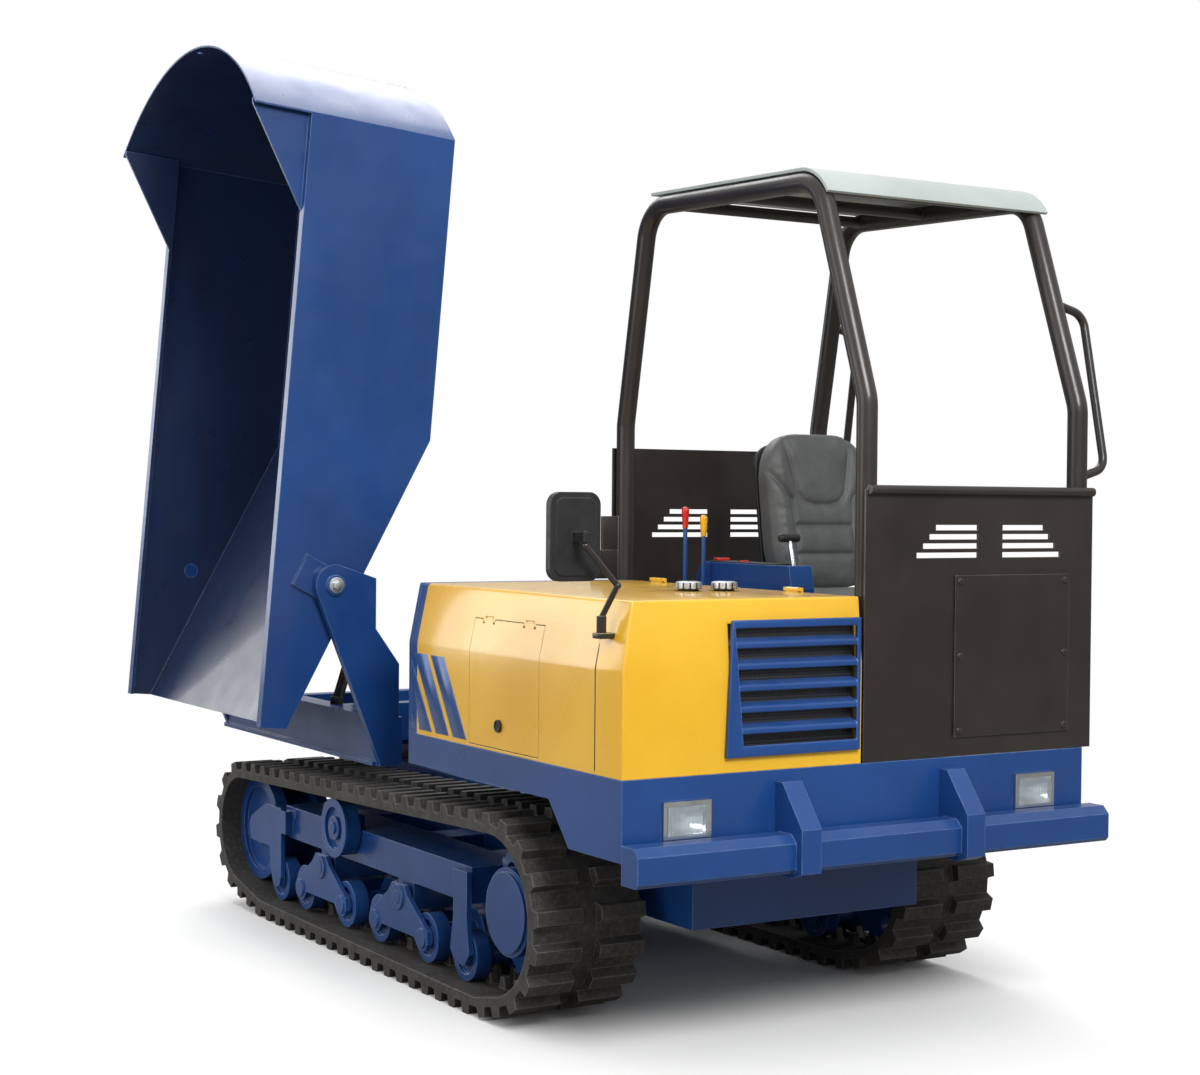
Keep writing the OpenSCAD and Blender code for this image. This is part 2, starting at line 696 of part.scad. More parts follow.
module bonnet_shell() {
  wall_top = bonnet_top_z - 12;
  ear_t = 8;
  color(yellow) difference() {
    union() {
      intersection() {
        bonnet_skin();
        box([seam_x + gap / 2, bonnet_y - 1, deck_z], [deck_front_x + 1, 0, bonnet_top_z + 1]);
      }
      intersection() {
        bonnet_form(0);
        box([deck_rear_x, bonnet_y - 1, deck_z], [hood_rear_x, 0, bonnet_top_z + 1]);
      }
      box([deck_rear_x, bonnet_inner_y - wall_t, deck_z + near], [deck_front_x - front_lean, bonnet_inner_y, wall_top]);
      for (x = hinge_places, dx = [-ear_t - 1, knuckle_l + 1])
        box([x + dx, bonnet_inner_y - wall_t, wall_top - 20], [x + dx + ear_t, bonnet_inner_y, hinge_z + 8]);
      for (x = hinge_places) xcyl(hinge_y, hinge_z, hinge_pin_r, x - ear_t, x + knuckle_l + ear_t);
      for (x = hinge_places, dx = [-ear_t - 1, knuckle_l + 1])
        box([x + dx, hinge_y - 8, hinge_z - 2], [x + dx + ear_t, bonnet_inner_y - 1, hinge_z + 8]);
    }
    box([deck_front_x - 60, grille_y0 + 14, grille_z0 + 10], [deck_front_x + 1, grille_y1 - 8, grille_z1 - 10]);
  }
  // Shelf and pin that carry the mirror arm
  color(black) {
    box([mirror_x - 18, mirror_foot_y - 16, mirror_foot_z - 14], [mirror_x + 18, bonnet_y + 24, mirror_foot_z]);
    zcyl(mirror_x, mirror_foot_y, mirror_pin_r, mirror_foot_z - 1, mirror_foot_z + 34);
  }
}

// Two small hinges along the top edge of the service door: ears and pins on the hood, knuckles on the door
door_hinges = [830, 1070];
door_knuckle_l = 50;
door_knuckle_r = 7;
door_pin_r = 3;
door_ear_t = 8;
door_hinge_y = bonnet_y + 14;

module door_ears() {
  for (x = door_hinges) {
    for (dx = [-door_ear_t - 1, door_knuckle_l + 1])
      box([x + dx, door_hinge_y - door_knuckle_r, door_hinge_z - door_knuckle_r],
        [x + dx + door_ear_t, door_hinge_y + 10, door_hinge_z + 2 * door_knuckle_r]);
    xcyl(door_hinge_y, door_hinge_z, door_pin_r, x - door_ear_t, x + door_knuckle_l + door_ear_t);
  }
}

// Room for the ears in the door, and for the knuckles in the hood
module ear_room() {
  for (x = door_hinges, dx = [-door_ear_t - 3, door_knuckle_l])
    box([x + dx, bonnet_y - 20, door_hinge_z - door_knuckle_r - 5], [x + dx + door_ear_t + 3, bonnet_y + 80, door_hinge_z + 1]);
}

module knuckle_room() {
  for (x = door_hinges) box([x - 1, bonnet_y - 20, door_hinge_z - 1],
    [x + door_knuckle_l + 1, bonnet_y + 80, door_hinge_z + door_knuckle_r + 2]);
}

// Opening for the service door, grown by g all round
module door_cut(g) {
  box([door_x0 - g, bonnet_y - 20, door_z0 - g], [door_x0 + door_w + g, bonnet_y + 80, door_hinge_z + g]);
}

module engine_hood() {
  knuckle_r = 9;
  color(yellow) difference() {
    union() {
      difference() {
        bonnet_skin();
        box([deck_rear_x - 1, bonnet_y - 1, deck_z], [hood_rear_x + gap, 0, bonnet_top_z + 1]);
        box([seam_x - gap / 2, bonnet_y - 1, deck_z], [deck_front_x + 1, 0, bonnet_top_z + 1]);
        box([deck_rear_x, bonnet_inner_y - 7, deck_z], [deck_front_x, 0, bonnet_top_z - 11]);
        for (x = hinge_places, dx = [-10, knuckle_l])
          box([x + dx, hinge_y - 9, deck_z], [x + dx + 10, 0, bonnet_top_z + 1]);
      }
      for (x = hinge_places) xcyl(hinge_y, hinge_z, knuckle_r, x, x + knuckle_l);
    }
    for (x = hinge_places) xcyl(hinge_y, hinge_z, hinge_pin_r + fit, x - 1, x + knuckle_l + 1);
    door_cut(gap);
    knuckle_room();
    for (p = filler_places) zcyl(p.x, p.y, cap_r + cap_gap, bonnet_top_z - 30, bonnet_top_z + 1);
  }
  color(yellow) door_ears();
}

module service_door() {
  lock_r = 14;
  lock_x = 953;
  lock_z = 850;
  color(yellow) difference() {
    union() {
      intersection() {
        bonnet_skin();
        door_cut(0);
      }
      ycyl(lock_x, lock_z, lock_r, bonnet_y - 3, bonnet_y + 1);
      for (x = door_hinges) xcyl(door_hinge_y, door_hinge_z, door_knuckle_r, x, x + door_knuckle_l);
    }
    ear_room();
    for (x = door_hinges) xcyl(door_hinge_y, door_hinge_z, door_pin_r + fit, x - 1, x + door_knuckle_l + 1);
  }
}

// Louvred grille in the bonnet front
module radiator_grille() {
  proud = 14;
  frame_w = 22;
  bar_t = 12;
  bar_d = 44;
  bar_tilt = 35;
  bar_pitch = (grille_z1 - grille_z0 - frame_w) / (grille_bars + 1);
  face_x = deck_front_x + near;
  color(blue) {
    difference() {
      box([face_x, grille_y0, grille_z0], [face_x + proud, grille_y1, grille_z1]);
      box([face_x - 1, grille_y0 + frame_w, grille_z0 + frame_w],
        [face_x + proud + 1, grille_y1 - frame_w / 2, grille_z1 - frame_w]);
    }
    intersection() {
      box([face_x - 30, grille_y0 + frame_w - 1, grille_z0 + 12],
        [face_x + proud, grille_y1 - frame_w / 2 + 1, grille_z1 - 12]);
      for (i = [1 : grille_bars]) translate([face_x, grille_y0, grille_z0 + frame_w / 2 + i * bar_pitch])
        rotate([0, bar_tilt, 0]) box([-bar_d / 2, 0, -bar_t / 2], [bar_d / 2, grille_y1 - grille_y0, bar_t / 2]);
    }
  }
}

// Power unit under the bonnet: engine on four feet, radiator behind the grille, and a fan between them
fan_y = -260;
fan_z = 1000;
fan_x = 1320;
fan_shaft_r = 16;
engine_front_x = 1040;

module engine() {
  block_x0 = deck_rear_x + 60;
  block_y0 = bonnet_y + 240;
  block_y1 = bonnet_inner_y - 92;
  block_z0 = deck_z + 75;
  block_z1 = block_z0 + 270;
  cover_z1 = block_z1 + 60;
  cover_in_x = 60;
  cover_in_y = 90;
  foot_in = 60;
  foot_r = 30;
  shaft_l = 30;
  radiator_x0 = deck_front_x - 220;
  radiator_t = 70;
  radiator_y1 = grille_y1 - 14;
  fins = 12;
  fin_half = 9;
  fin_pitch = 29;
  fin_depth = 20;
  fin_in = 30;
  color("dimgray") {
    box([block_x0, block_y0, block_z0], [engine_front_x, block_y1, block_z1]);
    box([block_x0 + cover_in_x, block_y0 + cover_in_y, block_z1 - 1],
      [engine_front_x - cover_in_x, block_y1 - cover_in_y, cover_z1]);
    for (x = [block_x0 + foot_in, engine_front_x - foot_in], y = [block_y0 + foot_in, block_y1 - foot_in])
      zcyl(x, y, foot_r, deck_z, block_z0 + 1);
    xcyl(fan_y, fan_z, fan_shaft_r, engine_front_x - 1, fan_x + shaft_l);
    difference() {
      box([radiator_x0, grille_y0, deck_z], [radiator_x0 + radiator_t, radiator_y1, grille_z1]);
      for (i = [1 : fins]) translate([0, 0, deck_z + fin_in + i * fin_pitch])
        box([radiator_x0 + radiator_t - fin_depth, grille_y0 + fin_in, -fin_half],
          [radiator_x0 + radiator_t + 1, radiator_y1 - fin_in, fin_half]);
    }
  }
}

module cooling_fan() {
  blades = 7;
  hub_r = 48;
  blade_l = 150;
  blade_w = 60;
  blade_t = 5;
  color(black) difference() {
    union() {
      xcyl(fan_y, fan_z, hub_r, fan_x - 18, fan_x + 18);
      for (i = [0 : blades - 1]) translate([fan_x, fan_y, fan_z]) rotate([i * 360 / blades, 0, 0])
        rotate([0, 0, 28]) box([-blade_t / 2, -blade_w / 2, hub_r - 12], [blade_t / 2, blade_w / 2, blade_l]);
    }
    xcyl(fan_y, fan_z, fan_shaft_r + fit, fan_x - 40, fan_x + 24);
  }
}

// Twin tank on the inner bonnet wall; its two filler necks end in caps that stand through the hood
neck_r = 30;
cap_r = 38;
cap_gap = 5;
filler_places = [[1150, -290], [1185, -190]];
module fluid_tanks() {
  low = [1080, -400, 1060];
  high = [1240, bonnet_inner_y - wall_t, 1190];
  color(black) {
    box(low, high);
    for (p = filler_places) {
      zcyl(p.x, p.y, neck_r, high.z - 1, bonnet_top_z + 8);
      zcyl(p.x, p.y, cap_r, bonnet_top_z + 7, bonnet_top_z + 24);
    }
  }
}

// Roll frame: two bent hoops, cross tubes and two grab handles
tube_r = tube_d / 2;
post_front_x = deck_front_x - 36;
post_rear_x = 315;
top_rear_x = 450;
top_front_x = 1360;
top_fall = 26;
front_knee_z = hoop_top_z - 660;
rear_knee_z = hoop_top_z - 700;
post_foot_z = deck_z + near;
top_front_z = hoop_top_z - top_fall;
function hoop_z(x) = hoop_top_z - top_fall * (x - top_rear_x) / (top_front_x - top_rear_x);
hoop_line = [[post_rear_x, post_foot_z], [post_rear_x, rear_knee_z], [top_rear_x, hoop_top_z],
  [top_front_x, top_front_z], [post_front_x, front_knee_z], [post_front_x, post_foot_z]];
handle_r = 13;
handle_out = 118;
handle_rise = 34;
handle_bend_r = 52;

// Loop handle that stands out sideways from the leaning tube between two points of it
module grab_handle(low, high) {
  l = norm(high - low);
  tilt = atan2(high.x - low.x, high.y - low.y);
  translate([low.x, hoop_left_y, low.y]) rotate([0, tilt, 0]) rotate([0, 0, 90])
    bent_tube([[0, 0], [handle_out, handle_rise], [handle_out, l - handle_rise], [0, l]], handle_bend_r, handle_r);
}

module rops_frame() {
  foot_in = 58;
  foot_out = tube_r - 3;
  foot_half = tube_r + 6;
  foot_t = 10;
  cross_r = 18;
  front_lean = (post_front_x - top_front_x) / (top_front_z - front_knee_z);
  rear_lean = (top_rear_x - post_rear_x) / (hoop_top_z - rear_knee_z);
  front_low_z = front_panel_z + 40;
  rear_low_z = front_panel_z + 110;
  high_z = hoop_top_z - 340;
  stay_t = 12;
  stay_z = bonnet_top_z + 1;
  color(black) {
    for (y = [hoop_right_y, hoop_left_y]) {
      translate([0, y, 0]) bent_tube(hoop_line, tube_bend_r, tube_r);
      box([post_rear_x - foot_out, y - foot_half, post_foot_z], [post_rear_x + foot_in, y + foot_half, post_foot_z + foot_t]);
      box([post_front_x - foot_in, y - foot_half, post_foot_z], [post_front_x + foot_out, y + foot_half, post_foot_z + foot_t]);
    }
    for (x = [560, 880, 1230]) ycyl(x, hoop_z(x), cross_r, hoop_right_y, hoop_left_y);
    grab_handle([post_front_x, front_low_z], [post_front_x - front_lean * (high_z - front_knee_z), high_z]);
    grab_handle([post_rear_x, rear_low_z], [post_rear_x + rear_lean * (high_z - rear_knee_z), high_z]);
    // Stepped stay between the rear post and the bonnet
    translate([post_rear_x - stay_t / 2, hoop_right_y, stay_z]) {
      box([0, -130, 0], [stay_t, 0, 95]);
      box([0, -90, 94], [stay_t, 0, 205]);
    }
  }
}

// Roof sheet on the hoops, rolled down over their front bends as a visor
module canopy_roof() {
  roof_l = 800;
  visor = 58;
  inner_r = tube_bend_r + tube_r + weld + near;
  outer_r = inner_r + roof_t;
  y0 = hoop_right_y - 14;
  y1 = hoop_left_y + tube_r;
  d = way(hoop_line, 2);
  start = hoop_line[3] - d * set_back(hoop_line, 3, tube_bend_r);
  centre = start + tube_bend_r * [d.y, -d.x];
  color(grey) xz_plate(y0, y1) translate(centre) rotate(atan2(d.y, d.x)) {
    translate([-roof_l, inner_r]) square([roof_l, roof_t]);
    intersection() {
      difference() {
        circle(r = outer_r);
        circle(r = inner_r);
      }
      polygon([[0, 0], [0, 2 * outer_r], 2 * outer_r * [sin(visor), cos(visor)]]);
    }
  }
}

// Row of four vent slots, of which one end is cut on a slant; side is 1 where that end lies at +Y
module vent_group(x, y, z, first_l, step, side) {
  for (i = [0 : 3]) {
    l = first_l + i * step;
    z1 = z - i * slot_pitch;
    box([x - 1, side > 0 ? y : y - l, z1 - slot_h / 2], [x + panel_t + 1, side > 0 ? y + l : y, z1 + slot_h / 2]);
  }
}

front_panel_x = post_front_x + tube_d / 2 + near;
rear_panel_x = post_rear_x - tube_d / 2 - near - panel_t;
panel_y0 = hoop_right_y - tube_d / 2;
panel_y1 = hoop_left_y + tube_d / 2;

module front_panel() {
  bead_r = 13;
  color(black) difference() {
    union() {
      box([front_panel_x, panel_y0, deck_z + 1], [front_panel_x + panel_t, panel_y1, front_panel_z]);
      ycyl(front_panel_x + bead_r, front_panel_z, bead_r, panel_y0 + 6, panel_y1 - 6);
    }
    vent_group(front_panel_x, 386, 1425, 155, 23, -1);
    vent_group(front_panel_x, 479, 1425, 159, 21, 1);
  }
}

module rear_panel() {
  color(black) difference() {
    box([rear_panel_x, panel_y0, deck_z + 1], [rear_panel_x + panel_t, panel_y1, rear_panel_z]);
    vent_group(rear_panel_x, 360, 1457, 155, 23, -1);
    vent_group(rear_panel_x, 453, 1457, 159, 21, 1);
  }
}

// Bolted cover on the front panel
module access_cover() {
  x0 = front_panel_x + panel_t;
  t = 6;
  y0 = 300;
  y1 = 735;
  z0 = 830;
  z1 = 1290;
  head_r = 8;
  color(black) {
    box([x0, y0, z0], [x0 + t, y1, z1]);
    for (y = [y0 + 18, y1 - 18], z = [z0 + 18, (z0 + z1) / 2, z1 - 18]) xcyl(y, z, head_r, x0 + t - 1, x0 + t + 5);
  }
}

// Seat: a pedestal with two rails, a sliding frame with its cushion, and a reclining backrest
cushion_x0 = 825;
cushion_bottom = cushion_z - cushion_h;
pan_t = 14;
rail_z = cushion_bottom - pan_t - near;
seat_rail_y = 130;
recline_x = 775;
recline_z = 1190;
recline_pin_r = 9;
bracket_y = 185;
bracket_t = 10;
back_lean = 8;

module seat_base() {
  pedestal_half = 160;
  rail_half = 22;
  rail_t = 30;
  pedestal_x0 = cushion_x0 + 15;
  pedestal_x1 = cushion_x0 + cushion_l - 75;
  rail_x0 = cushion_x0 - 65;
  rail_x1 = cushion_x0 + cushion_l - 15;
  color(black) {
    box([pedestal_x0, seat_y - pedestal_half, deck_z], [pedestal_x1, seat_y + pedestal_half, rail_z - rail_t + 1]);
    for (y = [-seat_rail_y, seat_rail_y])
      box([rail_x0, seat_y + y - rail_half, rail_z - rail_t], [rail_x1, seat_y + y + rail_half, rail_z - near]);
  }
}

// Pan under the cushion, with two upright brackets that carry the recline pins
module seat_frame() {
  pin_l = 22;
  color(black) translate([0, seat_y, 0]) {
    box([recline_x - 24, -bracket_y - bracket_t, rail_z], [cushion_x0 + cushion_l - 30, bracket_y + bracket_t,
      rail_z + pan_t]);
    both_sides() {
      box([recline_x - 24, bracket_y, rail_z], [recline_x + 24, bracket_y + bracket_t, recline_z + 22]);
      ycyl(recline_x, recline_z, recline_pin_r, bracket_y - pin_l, bracket_y + 1);
    }
  }
}

// Closed pad lofted along X: its sides draw in at mid length, its top crowns, two channels part the bolsters
pad_rings = 18;
pad_sides = 28;
pad_floor = 0.42;
function pad_end(s) = 0.5 + 0.5 * pow(max(0, 1 - pow(abs(s), 5)), 0.4);
function pad_waist(s) = 1 - 0.05 * (1 - s * s);
function pad_dent(s, t) = 0.14 * (1 - pow(s, 8)) * exp(-pow((abs(t) - 0.62) / 0.09, 2));
function pad_pow(v, p) = sign(v) * pow(abs(v), p);
function pad_top(s, t) = pad_floor + 0.08 * (1 - s * s) * (1 - t * t) - pad_dent(s, t);
function pad_ring(s, l, w, h) = [for (k = [0 : pad_sides - 1])
  let (a = 360 * (k + 0.5) / pad_sides, t = pad_pow(cos(a), 0.55), v = pad_pow(sin(a), 0.5))
  [s * l / 2, w / 2 * pad_waist(s) * pad_end(s) * t, h * v * pad_end(s) * (v > 0 ? pad_top(s, t) : pad_floor)]];

module pad(l, w, h) {
  rings = [for (i = [0 : pad_rings]) pad_ring(sin(180 * i / pad_rings - 90), l, w, h)];
  points = [for (r = rings) each r];
  last = pad_rings * pad_sides;
  walls = [for (i = [0 : pad_rings - 1], k = [0 : pad_sides - 1]) let (a = i * pad_sides, j = (k + 1) % pad_sides)
    each [[a + k, a + pad_sides + j, a + j], [a + k, a + pad_sides + k, a + pad_sides + j]]];
  caps = [for (k = [1 : pad_sides - 2]) each [[0, k, k + 1], [last, last + k + 1, last + k]]];
  polyhedron(points, concat(walls, caps), convexity = 6);
}

module seat_cushion() {
  color(black) translate([cushion_x0 + cushion_l / 2, seat_y, cushion_bottom + pad_floor * cushion_h])
    pad(cushion_l, cushion_w, cushion_h);
}

// Backrest pad with two ears that turn on the recline pins
module seat_backrest() {
  ear_t = 14;
  ear_y = bracket_y - 3 - ear_t;
  ear_h = 130;
  color(black) translate([recline_x, seat_y, recline_z]) rotate([0, -back_lean, 0]) difference() {
    union() {
      translate([-24, 0, back_h / 2 + 18]) rotate([0, 90, 0]) pad(back_h, back_w, back_t);
      both_sides() box([-40, ear_y, -20], [20, ear_y + ear_t, ear_h]);
    }
    both_sides() ycyl(0, 0, recline_pin_r + fit, ear_y - 1, ear_y + ear_t + 1);
  }
}

// Console beside the seat: a tall box for the travel lever and a low block for the two skip levers
console_y1 = 206;
console_y0 = console_y1 - console_w / 2;
block_y0 = console_y1 - console_w + 6;
block_z = console_z - 110;
lever_pin_r = 5;
lever_pivot_z = block_z - 26;
lever_slot_half = 10;
red_x = 600;
red_y = block_y0 + 18;
yellow_x = 660;
yellow_y = red_y + 30;
travel_x = 1050;
travel_y = (console_y0 + console_y1) / 2;
travel_pivot_z = console_z - 30;
button_x = 780;
button_r = 16;
button_h = 22;
button_proud = 8;

module control_console() {
  slot_l = 130;
  slot_depth = 60;
  console_x0 = red_x - 25;
  console_x1 = travel_x + 40;
  front_drop = 70;
  front_cut = 15;
  rear_drop = 40;
  rear_cut = 35;
  block_reach = 45;
  block_l = 210;
  color(blue) difference() {
    union() {
      xz_plate(console_y0, console_y1) polygon([[console_x0, deck_z], [console_x1, deck_z],
        [console_x1, console_z - front_drop], [console_x1 - front_cut, console_z], [console_x0 + rear_cut, console_z],
        [console_x0, console_z - rear_drop]]);
      box([console_x0 - block_reach, block_y0, deck_z], [console_x0 - block_reach + block_l, console_y0 + 1, block_z]);
    }
    box([red_x - slot_l / 2, red_y - lever_slot_half, block_z - slot_depth],
      [red_x + slot_l / 2, red_y + lever_slot_half, block_z + 1]);
    box([yellow_x - slot_l / 2, yellow_y - lever_slot_half, block_z - slot_depth],
      [yellow_x + slot_l / 2, yellow_y + lever_slot_half, block_z + 1]);
    box([travel_x - slot_l / 2, travel_y - lever_slot_half, console_z - slot_depth],
      [travel_x + 20, travel_y + lever_slot_half, console_z + 1]);
    zcyl(button_x, travel_y, button_r + near, console_z - button_h, console_z + 1);
  }
  color(silver) {
    ycyl(red_x, lever_pivot_z, lever_pin_r, red_y - lever_slot_half - 1, red_y + lever_slot_half + 1);
    ycyl(yellow_x, lever_pivot_z, lever_pin_r, yellow_y - lever_slot_half - 1, yellow_y + lever_slot_half + 1);
    ycyl(travel_x, travel_pivot_z, lever_pin_r, travel_y - lever_slot_half - 1, travel_y + lever_slot_half + 1);
  }
}

// Upright lever with a pivot boss and a knob
module skip_lever(x, y, l, knob) {
  boss_r = 14;
  boss_half = lever_slot_half - 1;
  knob_r = 13;
  knob_l = 55;
  top = lever_pivot_z + l;
  difference() {
    union() {
      color(silver) zcyl(x, y, lever_r, lever_pivot_z, top - knob_l + 2);
      color(silver) ycyl(x, lever_pivot_z, boss_r, y - boss_half, y + boss_half);
      color(knob) zcyl(x, y, knob_r, top - knob_l, top - knob_r);
      color(knob) translate([x, y, top - knob_r]) sphere(r = knob_r);
    }
    ycyl(x, lever_pivot_z, lever_pin_r + fit, y - boss_half - 1, y + boss_half + 1);
  }
}

module red_lever() {
  skip_lever(red_x, red_y, 310, red);
}

module yellow_lever() {
  skip_lever(yellow_x, yellow_y, 285, yellow);
}

// Travel lever with a cross handle, leaning back
module travel_lever() {
  lean = 16;
  reach = 118;
  boss_r = 14;
  boss_half = lever_slot_half - 1;
  handle_half = 55;
  grip_r = 13;
  color(black) translate([travel_x, travel_y, travel_pivot_z]) rotate([0, -lean, 0]) difference() {
    union() {
      zcyl(0, 0, lever_r, 0, reach);
      ycyl(0, 0, boss_r, -boss_half, boss_half);
      ycyl(0, reach, grip_r, -handle_half, handle_half);
    }
    ycyl(0, 0, lever_pin_r + fit, -boss_half - 1, boss_half + 1);
  }
}

// Push button in the console top
module horn_button() {
  travel = 4;
  color(red) zcyl(button_x, travel_y, button_r, console_z - button_h + travel + 1, console_z + button_proud);
}

// Mirror: a bent arm that turns on the bonnet's pin, and a head that turns on the arm's end
mirror_z = mirror_foot_z + 250;
mirror_y = bonnet_y - 98;
mirror_t = 22;
mirror_pin_x = mirror_x + 60;

module mirror_arm() {
  arm_r = 8;
  sleeve_r = 13;
  knee = [mirror_pin_x, bonnet_y - 1, 1275];
  start = [mirror_x, mirror_foot_y, mirror_foot_z + 44];
  end = [mirror_pin_x, mirror_y, mirror_z - 22];
  color(black) difference() {
    union() {
      zcyl(start.x, start.y, sleeve_r, mirror_foot_z + near, start.z);
      rod(start - [0, 0, 4], knee, arm_r);
      translate(knee) sphere(r = arm_r + 2);
      rod(knee, end, arm_r);
      translate(end) sphere(r = arm_r + 2);
      zcyl(end.x, end.y, mirror_pin_r, end.z, mirror_z + 16);
    }
    zcyl(start.x, start.y, mirror_pin_r + fit, mirror_foot_z - 1, mirror_foot_z + 36);
  }
}

// Rectangle with round corners, about the middle
module round_rect(w, h, r) {
  square([w, h - 2 * r], center = true);
  square([w - 2 * r, h], center = true);
  for (x = [-1, 1], y = [-1, 1]) translate([x * (w / 2 - r), y * (h / 2 - r)]) circle(r = r);
}

module mirror_head() {
  corner_r = 34;
  boss_half = 12;
  back_x = mirror_pin_x - 50;
  color(black) difference() {
    union() {
      translate([0, mirror_y, mirror_z]) yz_plate(back_x - mirror_t, back_x) round_rect(mirror_w, mirror_h, corner_r);
      translate([0, mirror_y, mirror_z]) yz_plate(back_x - 1, back_x + 4)
        round_rect(mirror_w - 30, mirror_h - 30, corner_r - 12);
      box([back_x, mirror_y - boss_half, mirror_z - boss_half],
        [mirror_pin_x + boss_half, mirror_y + boss_half, mirror_z + boss_half]);
    }
    zcyl(mirror_pin_x, mirror_y, mirror_pin_r + fit, mirror_z - boss_half - 1, mirror_z + boss_half + 1);
    translate([0, mirror_y, mirror_z]) yz_plate(back_x - mirror_t - 1, back_x - mirror_t + 2)
      round_rect(mirror_w - 14, mirror_h - 14, corner_r - 6);
  }
}

// Slewing gear: a fixed ring on the spine, round which the platform turns
slew_r = 280;
slew_flange_z = spine_z1 + 18;
platform_z = 620;
platform_top = 775;
slew_hole_r = 150;

module slew_ring() {
  flange_r = 330;
  bolts = 12;
  bolt_r = 10;
  color("gray") difference() {
    union() {
      zcyl(slew_x, 0, flange_r, spine_z1, slew_flange_z);
      zcyl(slew_x, 0, slew_r, slew_flange_z - 1, platform_z - 6);
      for (i = [0 : bolts - 1]) translate([slew_x, 0, 0]) rotate([0, 0, i * 360 / bolts])
        zcyl((slew_r - 70 + slew_r) / 2, 0, bolt_r, platform_z - 7, platform_z - 1);
    }
    zcyl(slew_x, 0, slew_hole_r, spine_z1 - 1, platform_z);
  }
}

// Turns a shape drawn with +X towards the discharge end into the slewed pose, discharging to -Y
module slewed() {
  translate([slew_x, 0, 0]) rotate([0, 0, -90]) children();
}

skip_half = skip_w / 2;
arm_in = skip_half + 15;
arm_out = arm_in + 25;
rest_z = pin_z - skip_depth - 0.5;
foot_pin_r = 18;

// Outline of an arm, from the cross beam up to the tipping pin
module arm_outline() {
  boss_r = 66;
  polygon([[716, platform_z + 2], [652, platform_z + 2], [652, 952], [pin_a - 144, 1069], [pin_a - 144, pin_z + 20],
    [pin_a - 36, pin_z + boss_r - 9], [pin_a + 62, pin_z - 24]]);
  translate([pin_a, pin_z]) circle(r = boss_r);
}

module swivel_platform() {
  race_w = 62;
  disc_r = 400;
  disc_t = 25;
  beam_y0 = 180;
  beam_y1 = 240;
  cross_a0 = 640;
  cross_a1 = 720;
  rest_half = 30;
  rest_a = -390;
  cheek_y0 = 50;
  cheek_y1 = 74;
  head_r = 32;
  color(blue) slewed() difference() {
    union() {
      difference() {
        zcyl(0, 0, slew_r + race_w, slew_flange_z + 0.6, platform_z + 1);
        zcyl(0, 0, slew_r + fit, slew_flange_z, platform_z + 2);
      }
      zcyl(0, 0, disc_r, platform_z, platform_z + disc_t);
      box([cross_a0, -arm_out, platform_z], [cross_a1, arm_out, platform_top + 3]);
      box([cross_a0, -arm_in, platform_z], [cross_a1 + 16, arm_in, platform_z + 14]);
      box([-420, -beam_y1, platform_z + disc_t - 1], [-360, beam_y1, platform_top]);
      both_sides() {
        box([-420, beam_y0, platform_z + disc_t - 1], [cross_a0 + 1, beam_y1, platform_top]);
        box([rest_a - rest_half, beam_y0, platform_top - 1], [rest_a + rest_half, beam_y1, rest_z]);
        xz_plate(arm_in, arm_out) arm_outline();
        ycyl(pin_a, pin_z, pin_r, skip_half - 8, arm_out + 1);
        ycyl(pin_a, pin_z, head_r, arm_out - 1, arm_out + 10);
        xz_plate(cheek_y0, cheek_y1) saddle_outline();
      }
      // Plate that carries the saddle between the beams
      box([360, -beam_y0 - 1, platform_z], [cross_a0 + 1, beam_y0 + 1, platform_z + disc_t]);
    }
    zcyl(0, 0, slew_hole_r, platform_z - 1, platform_z + disc_t + 1);
  }
}

// Side of the saddle that the cylinder foot swings out of, open towards the slewing axis
module saddle_outline() {
  mouth = foot_pin_r + 1;
  difference() {
    polygon([[foot_a - 10, platform_z + 20], [foot_a + 60, platform_z + 20], [foot_a + 60, foot_z + 20],
      [foot_a + 40, foot_z + 45], [foot_a - 10, foot_z + 45]]);
    translate([foot_a, foot_z]) circle(r = mouth);
    translate([foot_a, foot_z]) polygon([[0, mouth], [-60, mouth + 15], [-60, -mouth - 9], [0, -mouth]]);
  }
}

// Skip, drawn level with its tipping pin at the origin: +X towards the discharge end, +Z up
tail_x = 470;
tail_n = 110;
slope_x = -500;
bow_x = -pin_a - sqrt(pow(bow_r, 2) - pow(skip_half, 2));
wall_plate = 8;
flange_in = skip_half - 32;
slope_len = norm([tail_x - slope_x, tail_n + skip_depth]);
slope_dir = [tail_x - slope_x, tail_n + skip_depth] / slope_len;
slope_up = [-slope_dir.y, slope_dir.x];
head_pin_r = 15;
head_half = 26;

function strap_point(s, p) = s * slope_dir + p * slope_up;
function slope_n(x) = -skip_depth + (x - slope_x) * slope_dir.y / slope_dir.x;

module tipped() {
  slewed() translate([pin_a, 0, pin_z]) rotate([0, tip_angle, 0]) children();
}

